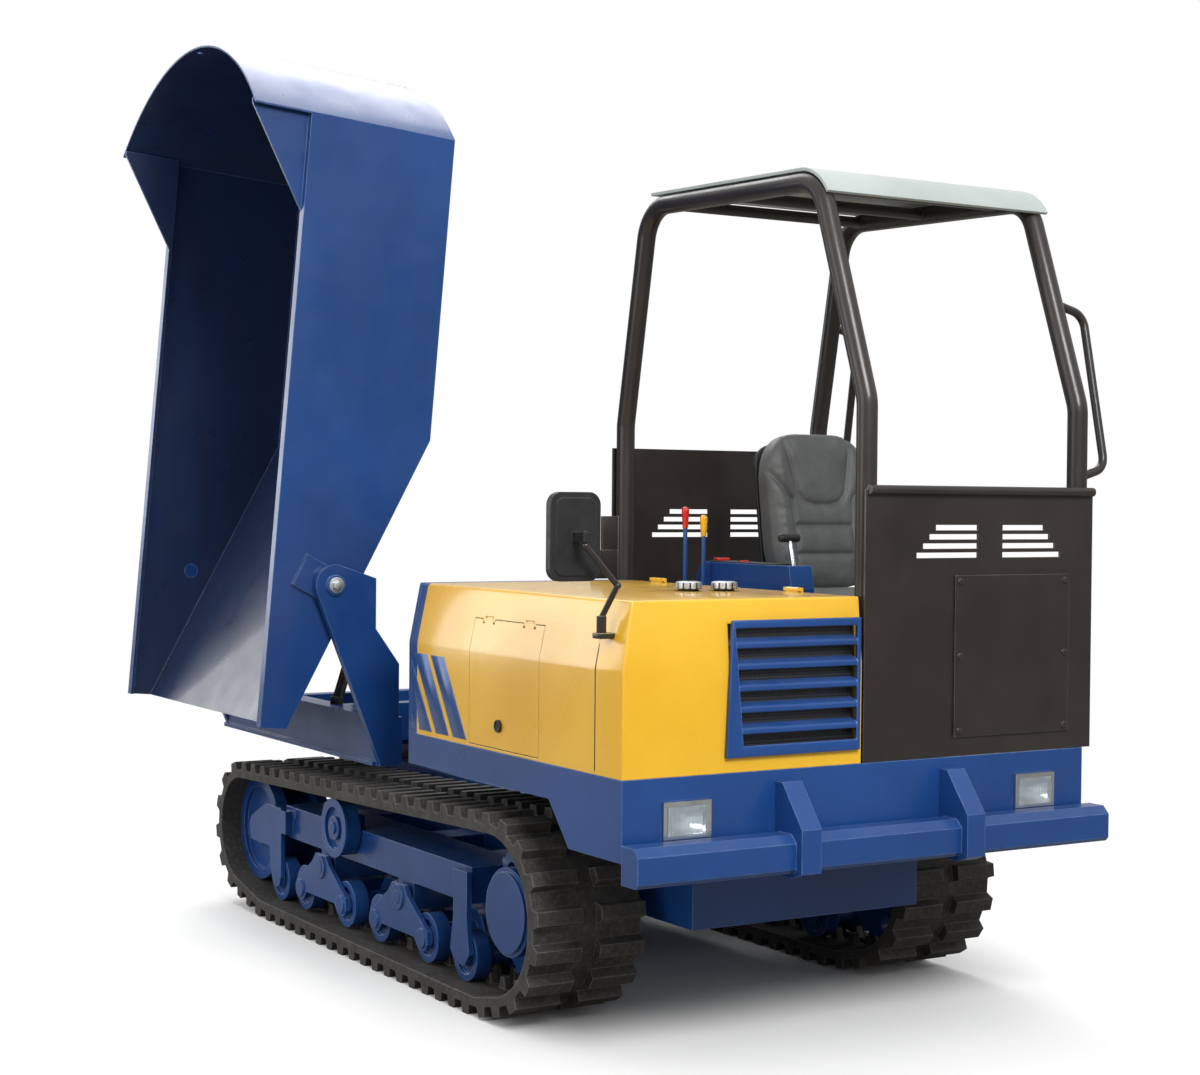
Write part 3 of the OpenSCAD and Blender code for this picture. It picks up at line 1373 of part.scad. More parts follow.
module skip() {
  gusset_x = -1168;
  rib_y = 350;
  rib_h = 40;
  lug_t = 16;
  hole_r = 12;
  slope_t = skip_t + 1;
  far_x = -pin_a - bow_r;
  strap_t = 12;
  color(blue) tipped() difference() {
    union() {
      intersection() {
        translate([-pin_a, 0, -skip_depth]) cylinder(r = bow_r, h = skip_t);
        box([far_x - 1, -skip_half, -skip_depth - 1], [slope_x, skip_half, 0]);
      }
      intersection() {
        difference() {
          translate([-pin_a, 0, -skip_depth]) cylinder(r = bow_r, h = skip_depth + bow_n);
          translate([-pin_a, 0, -skip_depth - 1]) cylinder(r = bow_r - skip_t, h = skip_depth + bow_n + 2);
        }
        box([far_x - 1, -skip_half, -skip_depth - 1], [bow_x + 6, skip_half, bow_n + 1]);
      }
      xz_plate(1 - skip_half, skip_half - 1) polygon([[slope_x, -skip_depth], [tail_x, tail_n],
        [tail_x, tail_n + slope_t], [slope_x, slope_t - skip_depth]]);
      both_sides() {
        xz_plate(skip_half - wall_plate, skip_half) polygon([[tail_x, rim_n], [bow_x, rim_n], [bow_x, -skip_depth],
          [slope_x, -skip_depth], [tail_x, tail_n]]);
        box([bow_x, flange_in, rim_n - 12], [tail_x, skip_half, rim_n]);
        xz_plate(flange_in, flange_in + wall_plate) polygon([[gusset_x, rim_n - 10], [bow_x + 2, bow_n],
          [bow_x - 14, bow_n], [bow_x - 14, rim_n - 10]]);
        xz_plate(skip_half - 1, skip_half + strap_t) polygon([strap_point(-48, -150), strap_point(62, -150),
          strap_point(62, 120), strap_point(-48, 120)]);
        xz_plate(head_half + 3, head_half + 3 + lug_t) polygon([[-180, slope_n(-180) + 3], [-340, slope_n(-340) + 3],
          [-head_u - 24, -head_n - 18], [-head_u + 22, -head_n - 36]]);
        box([bow_x + 60, rib_y - 10, -skip_depth - rib_h], [slope_x - 40, rib_y + 10, 1 - skip_depth]);
      }
      ycyl(-head_u, -head_n, head_pin_r, -head_half - 4 - lug_t, head_half + 4 + lug_t);
    }
    both_sides() ycyl(0, 0, pin_r + fit, skip_half - wall_plate - 2, skip_half + strap_t + 2);
    xcyl(0, bow_n - 30, hole_r, far_x - 5, far_x + 20);
  }
}

// Two-stage tipping cylinder between the platform's saddle and the skip, drawn out as far as it goes
head_tipped = [pin_a - head_u * cos(tip_angle) - head_n * sin(tip_angle),
  pin_z + head_u * sin(tip_angle) - head_n * cos(tip_angle)];
foot = [foot_a, foot_z];
long_l = norm(head_tipped - foot);
short_l = norm([pin_a - head_u, pin_z - head_n] - foot);
stage_stroke = (long_l - short_l) / 2;
stage_r = barrel_r - 9;
slide_gap = 0.4;

module along_cylinder() {
  rise = atan2(head_tipped.y - foot.y, head_tipped.x - foot.x);
  slewed() translate([foot_a, 0, foot_z]) rotate([0, 90 - rise, 0]) children();
}

module cylinder_barrel() {
  top = short_l - 40;
  eye_half = 36;
  color(black) along_cylinder() {
    difference() {
      zcyl(0, 0, barrel_r, 20, top);
      zcyl(0, 0, stage_r + slide_gap, 34, top + 1);
    }
    ycyl(0, 0, 32, -eye_half, eye_half);
    ycyl(0, 0, foot_pin_r, -72, 72);
  }
}

module cylinder_stage() {
  color("gray") along_cylinder() difference() {
    zcyl(0, 0, stage_r, 36 + stage_stroke, short_l - 35 + stage_stroke);
    zcyl(0, 0, rod_r + slide_gap, 35 + stage_stroke, short_l + stage_stroke);
  }
}

module cylinder_rod() {
  eye_r = 30;
  color(silver) along_cylinder() difference() {
    union() {
      zcyl(0, 0, rod_r, 40 + 2 * stage_stroke, long_l - 10);
      translate([0, 0, long_l]) ycyl(0, 0, eye_r, -head_half, head_half);
    }
    translate([0, 0, long_l]) ycyl(0, 0, head_pin_r + fit, -head_half - 1, head_half + 1);
  }
}

// Hydraulic hoses that arch over the platform, each end in a fitting
hose_lift = 6;
hose_line = [[660, platform_top + 3 + hose_lift], [588, 1012], [505, platform_top + hose_lift]];
hose_places = [192, 228];
hose_bend_r = 34;

module hydraulic_hoses() {
  ferrule_r = hose_d / 2 + 4;
  ferrule_l = 26;
  first = hose_line[0];
  last = hose_line[2];  color(black) slewed() for (b = hose_places) translate([0, b, 0]) {
    bent_tube(hose_line, hose_bend_r, hose_d / 2);    for (p = [first, last]) zcyl(p.x, 0, ferrule_r, p.y - hose_lift, p.y - hose_lift + ferrule_l);
  }
}

chassis();
front_bumper();
headlamp_housings();
headlamp_lenses();
track_frame(RIGHT);  // track_frame_right
track_frame(LEFT);  // track_frame_left
track_belt(RIGHT);  // track_belt_right
track_belt(LEFT);  // track_belt_left
sprocket(RIGHT);  // sprocket_right
sprocket(LEFT);  // sprocket_left
idler(RIGHT);  // idler_right
idler(LEFT);  // idler_left
bogie(RIGHT, bogie_rear_x);  // bogie_rear_right
bogie(RIGHT, bogie_front_x);  // bogie_front_right
bogie(LEFT, bogie_rear_x);  // bogie_rear_left
bogie(LEFT, bogie_front_x);  // bogie_front_left
roller(RIGHT, roller_places[0]);  // roller_1_right
roller(RIGHT, roller_places[1]);  // roller_2_right
roller(RIGHT, roller_places[2]);  // roller_3_right
roller(RIGHT, roller_places[3]);  // roller_4_right
roller(RIGHT, roller_places[4]);  // roller_5_right
roller(RIGHT, roller_places[5]);  // roller_6_right
roller(LEFT, roller_places[0]);  // roller_1_left
roller(LEFT, roller_places[1]);  // roller_2_left
roller(LEFT, roller_places[2]);  // roller_3_left
roller(LEFT, roller_places[3]);  // roller_4_left
roller(LEFT, roller_places[4]);  // roller_5_left
roller(LEFT, roller_places[5]);  // roller_6_left
carrier_roller(RIGHT);  // carrier_roller_right
carrier_roller(LEFT);  // carrier_roller_left
bonnet_shell();
engine_hood();
service_door();
radiator_grille();
engine();
cooling_fan();
fluid_tanks();
rops_frame();
canopy_roof();
front_panel();
rear_panel();
access_cover();
seat_base();
seat_frame();
seat_cushion();
seat_backrest();
control_console();
red_lever();
yellow_lever();
travel_lever();
horn_button();
mirror_arm();
mirror_head();
slew_ring();
swivel_platform();
skip();
cylinder_barrel();
cylinder_stage();
cylinder_rod();
hydraulic_hoses();
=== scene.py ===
import json
import math

import bpy
from mathutils import Matrix, Vector


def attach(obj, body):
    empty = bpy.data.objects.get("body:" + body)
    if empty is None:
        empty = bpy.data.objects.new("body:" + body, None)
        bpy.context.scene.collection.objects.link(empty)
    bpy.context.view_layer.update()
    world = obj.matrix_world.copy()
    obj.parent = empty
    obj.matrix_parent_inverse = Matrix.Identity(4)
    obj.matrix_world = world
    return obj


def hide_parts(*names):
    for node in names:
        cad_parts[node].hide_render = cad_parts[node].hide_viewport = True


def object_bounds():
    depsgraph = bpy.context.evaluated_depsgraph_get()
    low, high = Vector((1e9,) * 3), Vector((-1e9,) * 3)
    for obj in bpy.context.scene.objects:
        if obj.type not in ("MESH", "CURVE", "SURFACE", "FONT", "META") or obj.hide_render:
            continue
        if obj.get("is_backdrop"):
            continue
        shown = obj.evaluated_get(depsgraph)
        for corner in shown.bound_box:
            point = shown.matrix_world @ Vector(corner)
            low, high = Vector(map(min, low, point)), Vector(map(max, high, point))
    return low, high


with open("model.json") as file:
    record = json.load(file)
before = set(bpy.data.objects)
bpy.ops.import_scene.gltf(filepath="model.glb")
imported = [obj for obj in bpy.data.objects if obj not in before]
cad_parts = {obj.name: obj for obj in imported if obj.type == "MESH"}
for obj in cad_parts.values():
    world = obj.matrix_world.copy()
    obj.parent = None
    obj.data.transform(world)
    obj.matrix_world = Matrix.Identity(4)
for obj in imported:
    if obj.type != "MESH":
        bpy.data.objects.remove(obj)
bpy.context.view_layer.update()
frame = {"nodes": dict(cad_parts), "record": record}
nodes = frame["nodes"]
scene = bpy.context.scene

# Camera, solved from the photo: about 7 m away, 1.5 m up, off the front right corner
heading, pitch, roll = math.radians(31.10), math.radians(1.086), math.radians(0.511)
ahead = Vector((-math.cos(heading) * math.cos(pitch), math.sin(heading) * math.cos(pitch), -math.sin(pitch)))
level = Vector((math.sin(heading), math.cos(heading), 0))
above = level.cross(ahead)
right = math.cos(roll) * level + math.sin(roll) * above
up = math.cos(roll) * above - math.sin(roll) * level
cam_data = bpy.data.cameras.new("camera")
cam_data.sensor_width = 36
cam_data.lens = 62.53
cam_data.clip_end = 200
cam = bpy.data.objects.new("camera", cam_data)
scene.collection.objects.link(cam)
aim = Matrix((right, up, -ahead)).transposed().to_4x4()
cam.matrix_world = Matrix.Translation((6.154, -3.608, 1.5)) @ aim
scene.camera = cam
scene.view_settings.view_transform = "Standard"


def lin(code):
    """Linear colour of an sRGB hex code."""
    parts = [int(code[i:i + 2], 16) / 255 for i in (1, 3, 5)]
    return (*[c / 12.92 if c <= 0.04045 else ((c + 0.055) / 1.055) ** 2.4 for c in parts], 1)


def add(tree, kind, settings=None, links=None):
    """Adds a shader node, sets its properties and sockets, and links its inputs to other nodes' outputs."""
    n = tree.nodes.new(kind)
    for key, value in (settings or {}).items():
        if isinstance(key, str) and key not in n.inputs:
            setattr(n, key, value)
        else:
            n.inputs[key].default_value = value
    for key, source in (links or {}).items():
        tree.links.new(source, n.inputs[key])
    return n


# Colour sockets of a Mix node set to RGBA
MIX_A, MIX_B, MIX_OUT = 6, 7, 2


def blank(name):
    """New material with its Object coordinates and its surface shader."""
    mat = bpy.data.materials.new(name)
    mat.use_nodes = True
    tree = mat.node_tree
    shader = tree.nodes["Principled BSDF"]
    where = add(tree, "ShaderNodeTexCoord").outputs["Object"]
    return mat, tree, shader, where


def noise(tree, where, mm, detail=3, rough=0.55, stretch=(1, 1, 1)):
    """Noise whose patches are about mm wide."""
    at = add(tree, "ShaderNodeMapping", {"Scale": stretch}, {"Vector": where}).outputs[0]
    return add(tree, "ShaderNodeTexNoise", {"Scale": 1000 / mm, "Detail": detail, "Roughness": rough},
               {"Vector": at}).outputs["Fac"]


def band(tree, value, low, high, out_low=0, out_high=1):
    """Value between low and high, spread over out_low to out_high."""
    settings = {"From Min": low, "From Max": high, "To Min": out_low, "To Max": out_high}
    return add(tree, "ShaderNodeMapRange", settings, {"Value": value}).outputs[0]


def patches(tree, where, mm, detail, low=0, high=1):
    """Soft patches about mm wide, spread over low to high."""
    return band(tree, noise(tree, where, mm, detail), 0.3, 0.7, low, high)


def feed(tree, shader, socket, output):
    """Links an output to a named input of the shader."""
    tree.links.new(output, shader.inputs[socket])


def times(tree, a, b):
    return add(tree, "ShaderNodeMath", {"operation": "MULTIPLY"}, {0: a, 1: b}).outputs[0]


def mix(tree, factor, a, b):
    """Colour a where factor is 0 and b where it is 1; each is a hex code or an output."""
    settings = {"data_type": "RGBA"}
    links = {0: factor}
    for socket, colour in ((MIX_A, a), (MIX_B, b)):
        if isinstance(colour, str):
            settings[socket] = lin(colour)
        else:
            links[socket] = colour
    return add(tree, "ShaderNodeMix", settings, links).outputs[MIX_OUT]


def bump(tree, shader, height, mm, strength=1.0):
    links = {"Height": height}
    if shader.inputs["Normal"].links:
        links["Normal"] = shader.inputs["Normal"].links[0].from_socket
    out = add(tree, "ShaderNodeBump", {"Strength": strength, "Distance": mm / 1000}, links).outputs[0]
    tree.links.new(out, shader.inputs["Normal"])


def rim_of(tree, shader, mm):
    """Shades edges as rounded. Gives 0 on flat faces, and up to 1 where the rounding turns the normal."""
    soft = add(tree, "ShaderNodeBevel", {"samples": 4, "Radius": mm / 1000}).outputs[0]
    tree.links.new(soft, shader.inputs["Normal"])
    own = add(tree, "ShaderNodeNewGeometry").outputs["Normal"]
    dot = add(tree, "ShaderNodeVectorMath", {"operation": "DOT_PRODUCT"}, {0: soft, 1: own}).outputs["Value"]
    return band(tree, dot, 0.995, 0.86)


def up_of(tree):
    """1 on faces that look up, 0 on walls and undersides."""
    normal = add(tree, "ShaderNodeTexCoord").outputs["Normal"]
    return band(tree, add(tree, "ShaderNodeSeparateXYZ", None, {0: normal}).outputs["Z"], 0.4, 0.95)


def coat(name, base, deep, edge, dust, rough=0.32, clear=0.3, edge_mm=4, dust_share=0.25, inner=None):
    """Sprayed coat on steel: slow shade drift, orange peel, a pale edge colour that is partly painted
    highlight and partly rubbed paint, and a film of dust on upward faces.
    inner gives the middle of a vessel and the painted shade colour of the faces that look towards it."""
    mat, tree, shader, where = blank(name)
    drift = band(tree, noise(tree, where, 620, 4), 0.34, 0.66)
    colour = mix(tree, drift, base, deep)
    if inner:
        middle, shade_inside = inner
        towards = {"operation": "SUBTRACT", 0: middle}
        inwards = add(tree, "ShaderNodeVectorMath", towards, {1: where}).outputs[0]
        normal = add(tree, "ShaderNodeTexCoord").outputs["Normal"]
        facing = add(tree, "ShaderNodeVectorMath", {"operation": "DOT_PRODUCT"},
                     {0: inwards, 1: normal}).outputs["Value"]
        streaks = band(tree, noise(tree, where, 60, 5, 0.6, (1, 1, 0.15)), 0.3, 0.75, 0.75, 1)
        # Painted shade: faces that look towards the middle of the skip turn dark, in streaks
        colour = mix(tree, times(tree, band(tree, facing, 0.02, 0.1), streaks), colour, shade_inside)
    film = times(tree, up_of(tree), band(tree, noise(tree, where, 90, 6, 0.65), 0.3, 0.8, 0, dust_share))
    colour = mix(tree, film, colour, dust)
    # Pale edge colour in patches: partly painted highlight, partly rubbed paint
    edge_highlight_patches = band(tree, noise(tree, where, 60, 5), 0.3, 0.62, 0.25, 0.9)
    colour = mix(tree, times(tree, rim_of(tree, shader, edge_mm), edge_highlight_patches), colour, edge)
    feed(tree, shader, "Base Color", colour)
    feed(tree, shader, "Roughness", patches(tree, where, 140, 6, rough - 0.07, rough + 0.12))
    shader.inputs["IOR"].default_value = 1.5
    shader.inputs["Specular IOR Level"].default_value = 0.35
    shader.inputs["Coat Weight"].default_value = clear
    shader.inputs["Coat Roughness"].default_value = 0.12
    bump(tree, shader, noise(tree, where, 3.2, 2), 0.12, 0.35)
    bump(tree, shader, noise(tree, where, 260, 2), 1.2, 0.25)
    return mat


def moulded(name, base, deep, rough, grain_mm=1.2, grain=0.4, gloss=0.0):
    """Moulded plastic or rubber: near-even colour, with a fine pebble in its skin."""
    mat, tree, shader, where = blank(name)
    colour = mix(tree, patches(tree, where, 45, 5), base, deep)
    # Pale edge colour in patches: partly painted highlight, partly scuffs
    scuffs_and_highlight = band(tree, noise(tree, where, 20, 3), 0.2, 0.8, 0.1, 0.5)
    colour = mix(tree, times(tree, rim_of(tree, shader, 3), scuffs_and_highlight), colour, "#77736e")
    feed(tree, shader, "Base Color", colour)
    feed(tree, shader, "Roughness", patches(tree, where, 30, 4, rough - 0.06, rough + 0.08))
    shader.inputs["Coat Weight"].default_value = gloss
    shader.inputs["IOR"].default_value = 1.47
    bump(tree, shader, noise(tree, where, grain_mm, 2), 0.15, grain)
    return mat


def bright(name, base, deep, rough, scratch_mm=1.5, stretch=(1, 1, 12)):
    """Bare or plated metal, with fine drawn scratches and a faint tarnish."""
    mat, tree, shader, where = blank(name)
    feed(tree, shader, "Base Color", mix(tree, patches(tree, where, 55, 4), base, deep))
    shader.inputs["Metallic"].default_value = 1
    fine = noise(tree, where, scratch_mm, 4, 0.6, stretch)
    feed(tree, shader, "Roughness", band(tree, fine, 0.3, 0.7, rough * 0.7, rough * 1.5))
    bump(tree, shader, fine, 0.03, 0.3)
    return mat


# Blue two-pack paint: the machine's main colour, with pale edges that draw every plate, partly painted
# highlight and partly rubbed paint
blue = coat("blue_gloss_paint", "#1b4788", "#153a72", "#7d9ccf", "#76849c", dust_share=0.2)
# Yellow paint on the bonnet sheet: warm and clean, under a strong clear coat
yellow = coat("yellow_gloss_paint", "#edb92a", "#e0a91f", "#f8de86", "#d8c9a0", rough=0.3, clear=0.7,
              dust_share=0.16)
# Black satin paint on tubes and cab sheet: brownish black with grey edges, partly painted highlight and
# partly rubbed paint
black = coat("black_satin_paint", "#252120", "#332e2b", "#837e78", "#4a4642", rough=0.36, edge_mm=3)
# Pale grey roof paint, with little shine
roof = coat("pale_grey_roof_paint", "#bdc5c2", "#a3acaa", "#dce2df", "#adada5", rough=0.42, clear=0.1)
# Skip paint: the same blue outside, with dark painted shade inside, in streaks
SKIP_MIDDLE = (-0.7, -0.75, 2.0)
skip_blue = coat("blue_paint_with_painted_inside_shade", "#1b4788", "#153a72", "#7d9ccf", "#76849c", dust_share=0.2,
                 inner=(SKIP_MIDDLE, "#222d4a"))


def track_rubber():
    """Track rubber: dark grey, with pale dust in small patches and pale lug edges, partly painted highlight
    and partly scuffs.
    """
    mat, tree, shader, where = blank("dusty_track_rubber")
    colour = mix(tree, patches(tree, where, 120, 6), "#292725", "#3b3835")
    colour = mix(tree, band(tree, noise(tree, where, 14, 6, 0.7), 0.48, 0.78, 0, 0.4), colour, "#746f69")
    # Pale edge colour in patches: partly painted highlight, partly scuffs
    scuffs_and_highlight = patches(tree, where, 25, 4, 0.2, 0.7)
    colour = mix(tree, times(tree, rim_of(tree, shader, 6), scuffs_and_highlight), colour, "#8f8a84")
    feed(tree, shader, "Base Color", colour)
    feed(tree, shader, "Roughness", patches(tree, where, 50, 4, 0.62, 0.85))
    shader.inputs["IOR"].default_value = 1.5
    bump(tree, shader, noise(tree, where, 6, 5), 0.5, 0.5)
    return mat


def vinyl():
    """Seat vinyl: dark grey, pebbled leather grain over slow sheen patches."""
    mat, tree, shader, where = blank("grained_grey_vinyl")
    grain = {"feature": "DISTANCE_TO_EDGE", "Scale": 420}
    cells = add(tree, "ShaderNodeTexVoronoi", grain, {"Vector": where}).outputs["Distance"]
    colour = mix(tree, patches(tree, where, 70, 4), "#585a5a", "#474949")
    colour = mix(tree, band(tree, cells, 0.0, 0.12, 0.5, 0), colour, "#232426")
    feed(tree, shader, "Base Color", colour)
    feed(tree, shader, "Roughness", patches(tree, where, 40, 4, 0.42, 0.56))
    shader.inputs["IOR"].default_value = 1.5
    shader.inputs["Sheen Weight"].default_value = 0.08
    bump(tree, shader, band(tree, cells, 0, 0.25), 0.25, 0.5)
    return mat


def lens_glass():
    """Lamp glass: clear, with upright flutes that break up the reflector behind it."""
    mat, tree, shader, where = blank("fluted_lamp_glass")
    ripple = {"bands_direction": "Y", "Scale": 28, "Distortion": 0.4}
    flutes = add(tree, "ShaderNodeTexWave", ripple, {"Vector": where}).outputs["Fac"]
    feed(tree, shader, "Base Color", mix(tree, flutes, "#f6fafb", "#dfe8ea"))
    shader.inputs["Transmission Weight"].default_value = 0.85
    feed(tree, shader, "Roughness", patches(tree, where, 20, 3, 0.04, 0.14))
    shader.inputs["IOR"].default_value = 1.52
    bump(tree, shader, flutes, 0.8, 0.6)
    return mat


finishes = {
    "blue_paint": blue, "yellow_paint": yellow, "black_paint": black, "roof_paint": roof,
    "track_rubber": track_rubber(), "seat_vinyl": vinyl(), "lamp_glass": lens_glass(),
    # Hose rubber: smooth and blacker than the tracks
    "hose_rubber": moulded("smooth_hose_rubber", "#161514", "#211f1e", 0.5, 2.5, 0.3),
    # Lamp housings, lamp bowls and mirror glass: bright plating with a cool tint
    "lamp_chrome": bright("plated_reflector", "#dfe3e6", "#c2c8cc", 0.14, stretch=(1, 1, 1)),
    # Dark iron of castings: rough skin, low shine
    "engine_iron": coat("cast_iron_skin", "#2c2b2b", "#3a3836", "#8c8a86", "#5a554e", rough=0.55, clear=0.0),
    # Black moulded plastic: dull pebble
    "black_plastic": moulded("pebbled_black_plastic", "#171718", "#222223", 0.5),
    # Lever knobs and button: glossy coloured plastic
    "red_plastic": moulded("glossy_red_plastic", "#d62b1c", "#b82014", 0.25, 3, 0.15, 0.5),
    "yellow_plastic": moulded("glossy_yellow_plastic", "#f0b81c", "#dba012", 0.25, 3, 0.15, 0.5),
    # Ground and plated cylinder rod: mirror-like, with fine lines
    "bright_rod": bright("ground_chrome_rod", "#cfd3d6", "#aab0b5", 0.16),
}
slot_of = {s["node"]: s["material_slot"] for s in frame["record"]["subparts"]}
for name, obj in nodes.items():
    obj.data.materials.clear()
    obj.data.materials.append(skip_blue if name == "skip" else finishes[slot_of[name]])


def only(obj):
    """Selects one object and makes it active."""
    bpy.ops.object.select_all(action="DESELECT")
    obj.select_set(True)
    bpy.context.view_layer.objects.active = obj


def baked(obj, kind, **settings):
    """Adds a modifier with its settings and applies it."""
    only(obj)
    step = obj.modifiers.new(kind.lower(), kind)
    for key, value in settings.items():
        setattr(step, key, value)
    bpy.ops.object.modifier_apply(modifier=step.name)


def block(name, low, high):
    """Box between two corners in mm, its place in its mesh."""
    bpy.ops.object.select_all(action="DESELECT")
    low, high = Vector(low) / 1000, Vector(high) / 1000
    bpy.ops.mesh.primitive_cube_add(size=1, location=(low + high) / 2, scale=high - low)
    bpy.ops.object.transform_apply()
    bpy.context.object.name = name
    return bpy.context.object


def round_bar(name, start, end, r, r_end=None, sides=40):
    """Round bar between two points in mm, tapered to r_end where that is given, its place in its mesh."""
    bpy.ops.object.select_all(action="DESELECT")
    start, end = Vector(start) / 1000, Vector(end) / 1000
    turn = (end - start).to_track_quat("Z", "Y").to_euler()
    bpy.ops.mesh.primitive_cone_add(vertices=sides, radius1=r / 1000, radius2=(r_end or r) / 1000,
                                    depth=(end - start).length, location=(start + end) / 2, rotation=turn)
    bpy.ops.object.transform_apply()
    bpy.context.object.name = name
    return bpy.context.object


# From this share on, a direction counts as lying along an axis
ALONG = 0.9
# Faces that meet at less than this are shaded as one
SMOOTH_BELOW = math.radians(35)


def pick(obj, kind, test):
    """Opens edit mode with those faces or edges selected whose middle in mm and direction pass the test."""
    only(obj)
    bpy.ops.object.mode_set(mode="EDIT")
    bpy.ops.mesh.select_mode(type=kind)
    bpy.ops.mesh.select_all(action="DESELECT")
    bpy.ops.object.mode_set(mode="OBJECT")
    points = obj.data.vertices
    for item in obj.data.polygons if kind == "FACE" else obj.data.edges:
        corners = [points[i].co for i in item.vertices]
        facing = item.normal if kind == "FACE" else (corners[1] - corners[0]).normalized()
        item.select = bool(test(sum(corners, Vector()) / len(corners) * 1000, facing))
    bpy.ops.object.mode_set(mode="EDIT")


def eased(obj, mm, segments=3, angle=40):
    """Rounds every edge that is sharper than the angle, and shades the piece smooth across the rounding."""
    baked(obj, "BEVEL", width=mm / 1000, segments=segments, limit_method="ANGLE",
          angle_limit=math.radians(angle))
    only(obj)
    bpy.ops.object.shade_smooth_by_angle(angle=SMOOTH_BELOW)
    return obj


def rounded(obj, test, mm, segments):
    """Rounds the edges that pass the test."""
    pick(obj, "EDGE", test)
    bpy.ops.mesh.bevel(offset=mm / 1000, segments=segments, affect="EDGES")
    bpy.ops.object.mode_set(mode="OBJECT")


def shifted(obj, test, move):
    """Moves the edges that pass the test by mm."""
    pick(obj, "EDGE", test)
    bpy.ops.transform.translate(value=Vector(move) / 1000)
    bpy.ops.object.mode_set(mode="OBJECT")


def joined(name, parts):
    """Several meshes made one piece, each keeping its finish."""
    only(parts[0])
    for part in parts:
        part.select_set(True)
    bpy.ops.object.join()
    parts[0].name = name
    return parts[0]


def fitted(piece, body, slot, finish=None, stands_for=()):
    """Gives a piece its finish if it has none yet, the finish of its slot unless one is given, puts it on its
    body, and hides the nodes that it stands for.
    """
    if not piece.data.materials:
        piece.data.materials.append(finish or finishes[slot])
    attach(piece, body)
    if stands_for:
        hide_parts(*stands_for)
    return piece


def merged_copy(node):
    """Copy of a CAD node's mesh with its loose triangles merged into whole faces."""
    piece = bpy.data.objects.new(node + "_sheet", nodes[node].data.copy())
    scene.collection.objects.link(piece)
    only(piece)
    bpy.ops.mesh.customdata_custom_splitnormals_clear()
    bpy.ops.object.mode_set(mode="EDIT")
    bpy.ops.mesh.select_all(action="SELECT")
    bpy.ops.mesh.remove_doubles(threshold=0.00001)
    bpy.ops.mesh.dissolve_limited(angle_limit=math.radians(0.5))
    bpy.ops.object.mode_set(mode="OBJECT")
    return piece


# Bonnet sheet: the pressed folds are rounded, on the outside and on the inside
BONNET_SIDE, BONNET_TOP, BONNET_CREASE, BONNET_FRONT = -800, 1235, 1055, 1620
# Where the slope above the crease meets the top
SLOPE_TOP_Y = -762


def top_fold(m, d):
    along_side = abs(d.x) > ALONG and abs(m.y - SLOPE_TOP_Y) < 9 and m.z > BONNET_TOP - 9
    along_front = abs(d.y) > ALONG and m.x > BONNET_FRONT - 30 and m.z > BONNET_TOP - 9
    upright = abs(d.z) > ALONG and m.x > BONNET_FRONT - 30 and m.y < BONNET_SIDE + 46
    return along_side or along_front or upright


def crease(m, d):
    return abs(d.x) > ALONG and abs(m.z - BONNET_CREASE) < 4 and m.y < BONNET_SIDE + 12


def trimmed(obj, at, normal, side):
    """Cuts a closed mesh at a plane, drops one side and closes the cut."""
    only(obj)
    bpy.ops.object.mode_set(mode="EDIT")
    bpy.ops.mesh.select_all(action="SELECT")
    bpy.ops.mesh.bisect(plane_co=at, plane_no=normal, use_fill=True, **{side: True})
    bpy.ops.object.mode_set(mode="OBJECT")


# A point just off the slope above the crease, and the way that the slope faces
ON_SLOPE = (0, BONNET_SIDE / 1000 - 0.0004, BONNET_CREASE / 1000)
SLOPE_OUT = (0, -0.9784, 0.2066)
# Where the blue rear end of each sheet stops, in metres
REAR_BANDS = {"bonnet_shell": ("bonnet_rear_plate", 0.3863), "engine_hood": ("hood_rear_band", 0.426)}
for node in ("engine_hood", "bonnet_shell", "service_door"):
    sheet = merged_copy(node)
    for fold, mm, segments in ((top_fold, 15, 5), (crease, 6, 2)):
        pick(sheet, "EDGE", fold)
        if sheet.data.total_edge_sel:
            bpy.ops.mesh.bevel(offset=mm / 1000, segments=segments, affect="EDGES", clamp_overlap=True)
        bpy.ops.object.mode_set(mode="OBJECT")
    body = "machine" if node == "bonnet_shell" else node
    if node != "bonnet_shell":
        # No hinge shows on the closed sheet, so what stands proud of the slope is trimmed flush
        trimmed(sheet, ON_SLOPE, SLOPE_OUT, "clear_outer")
    if node in REAR_BANDS:
        # The rear end is cut off as a piece of its own, because it is blue
        name, cut = REAR_BANDS[node]
        plate = bpy.data.objects.new(name, sheet.data.copy())
        scene.collection.objects.link(plate)
        trimmed(sheet, (cut, 0, 0), (1, 0, 0), "clear_inner")
        trimmed(plate, (cut, 0, 0), (1, 0, 0), "clear_outer")
        plate.data.materials.clear()
        fitted(plate, body, "blue_paint")
    only(sheet)
    bpy.ops.object.shade_smooth_by_angle(angle=SMOOTH_BELOW)
    fitted(sheet, body, "yellow_paint", stands_for=[node])

# Small plates on the door that close the slots of its hinges, flush with the slope
covers = []
for x in (829.6, 1069.6):
    cover = block("cover", (x, -780.7, 1146.5), (x + 50.8, -777.7, 1155.2))
    shifted(cover, lambda m, d: abs(d.x) > ALONG and m.z > 1150, (0, 1.8, 0))
    covers.append(eased(cover, 0.4, 2))
fitted(joined("door_hinge_covers", covers), "service_door", "yellow_paint")

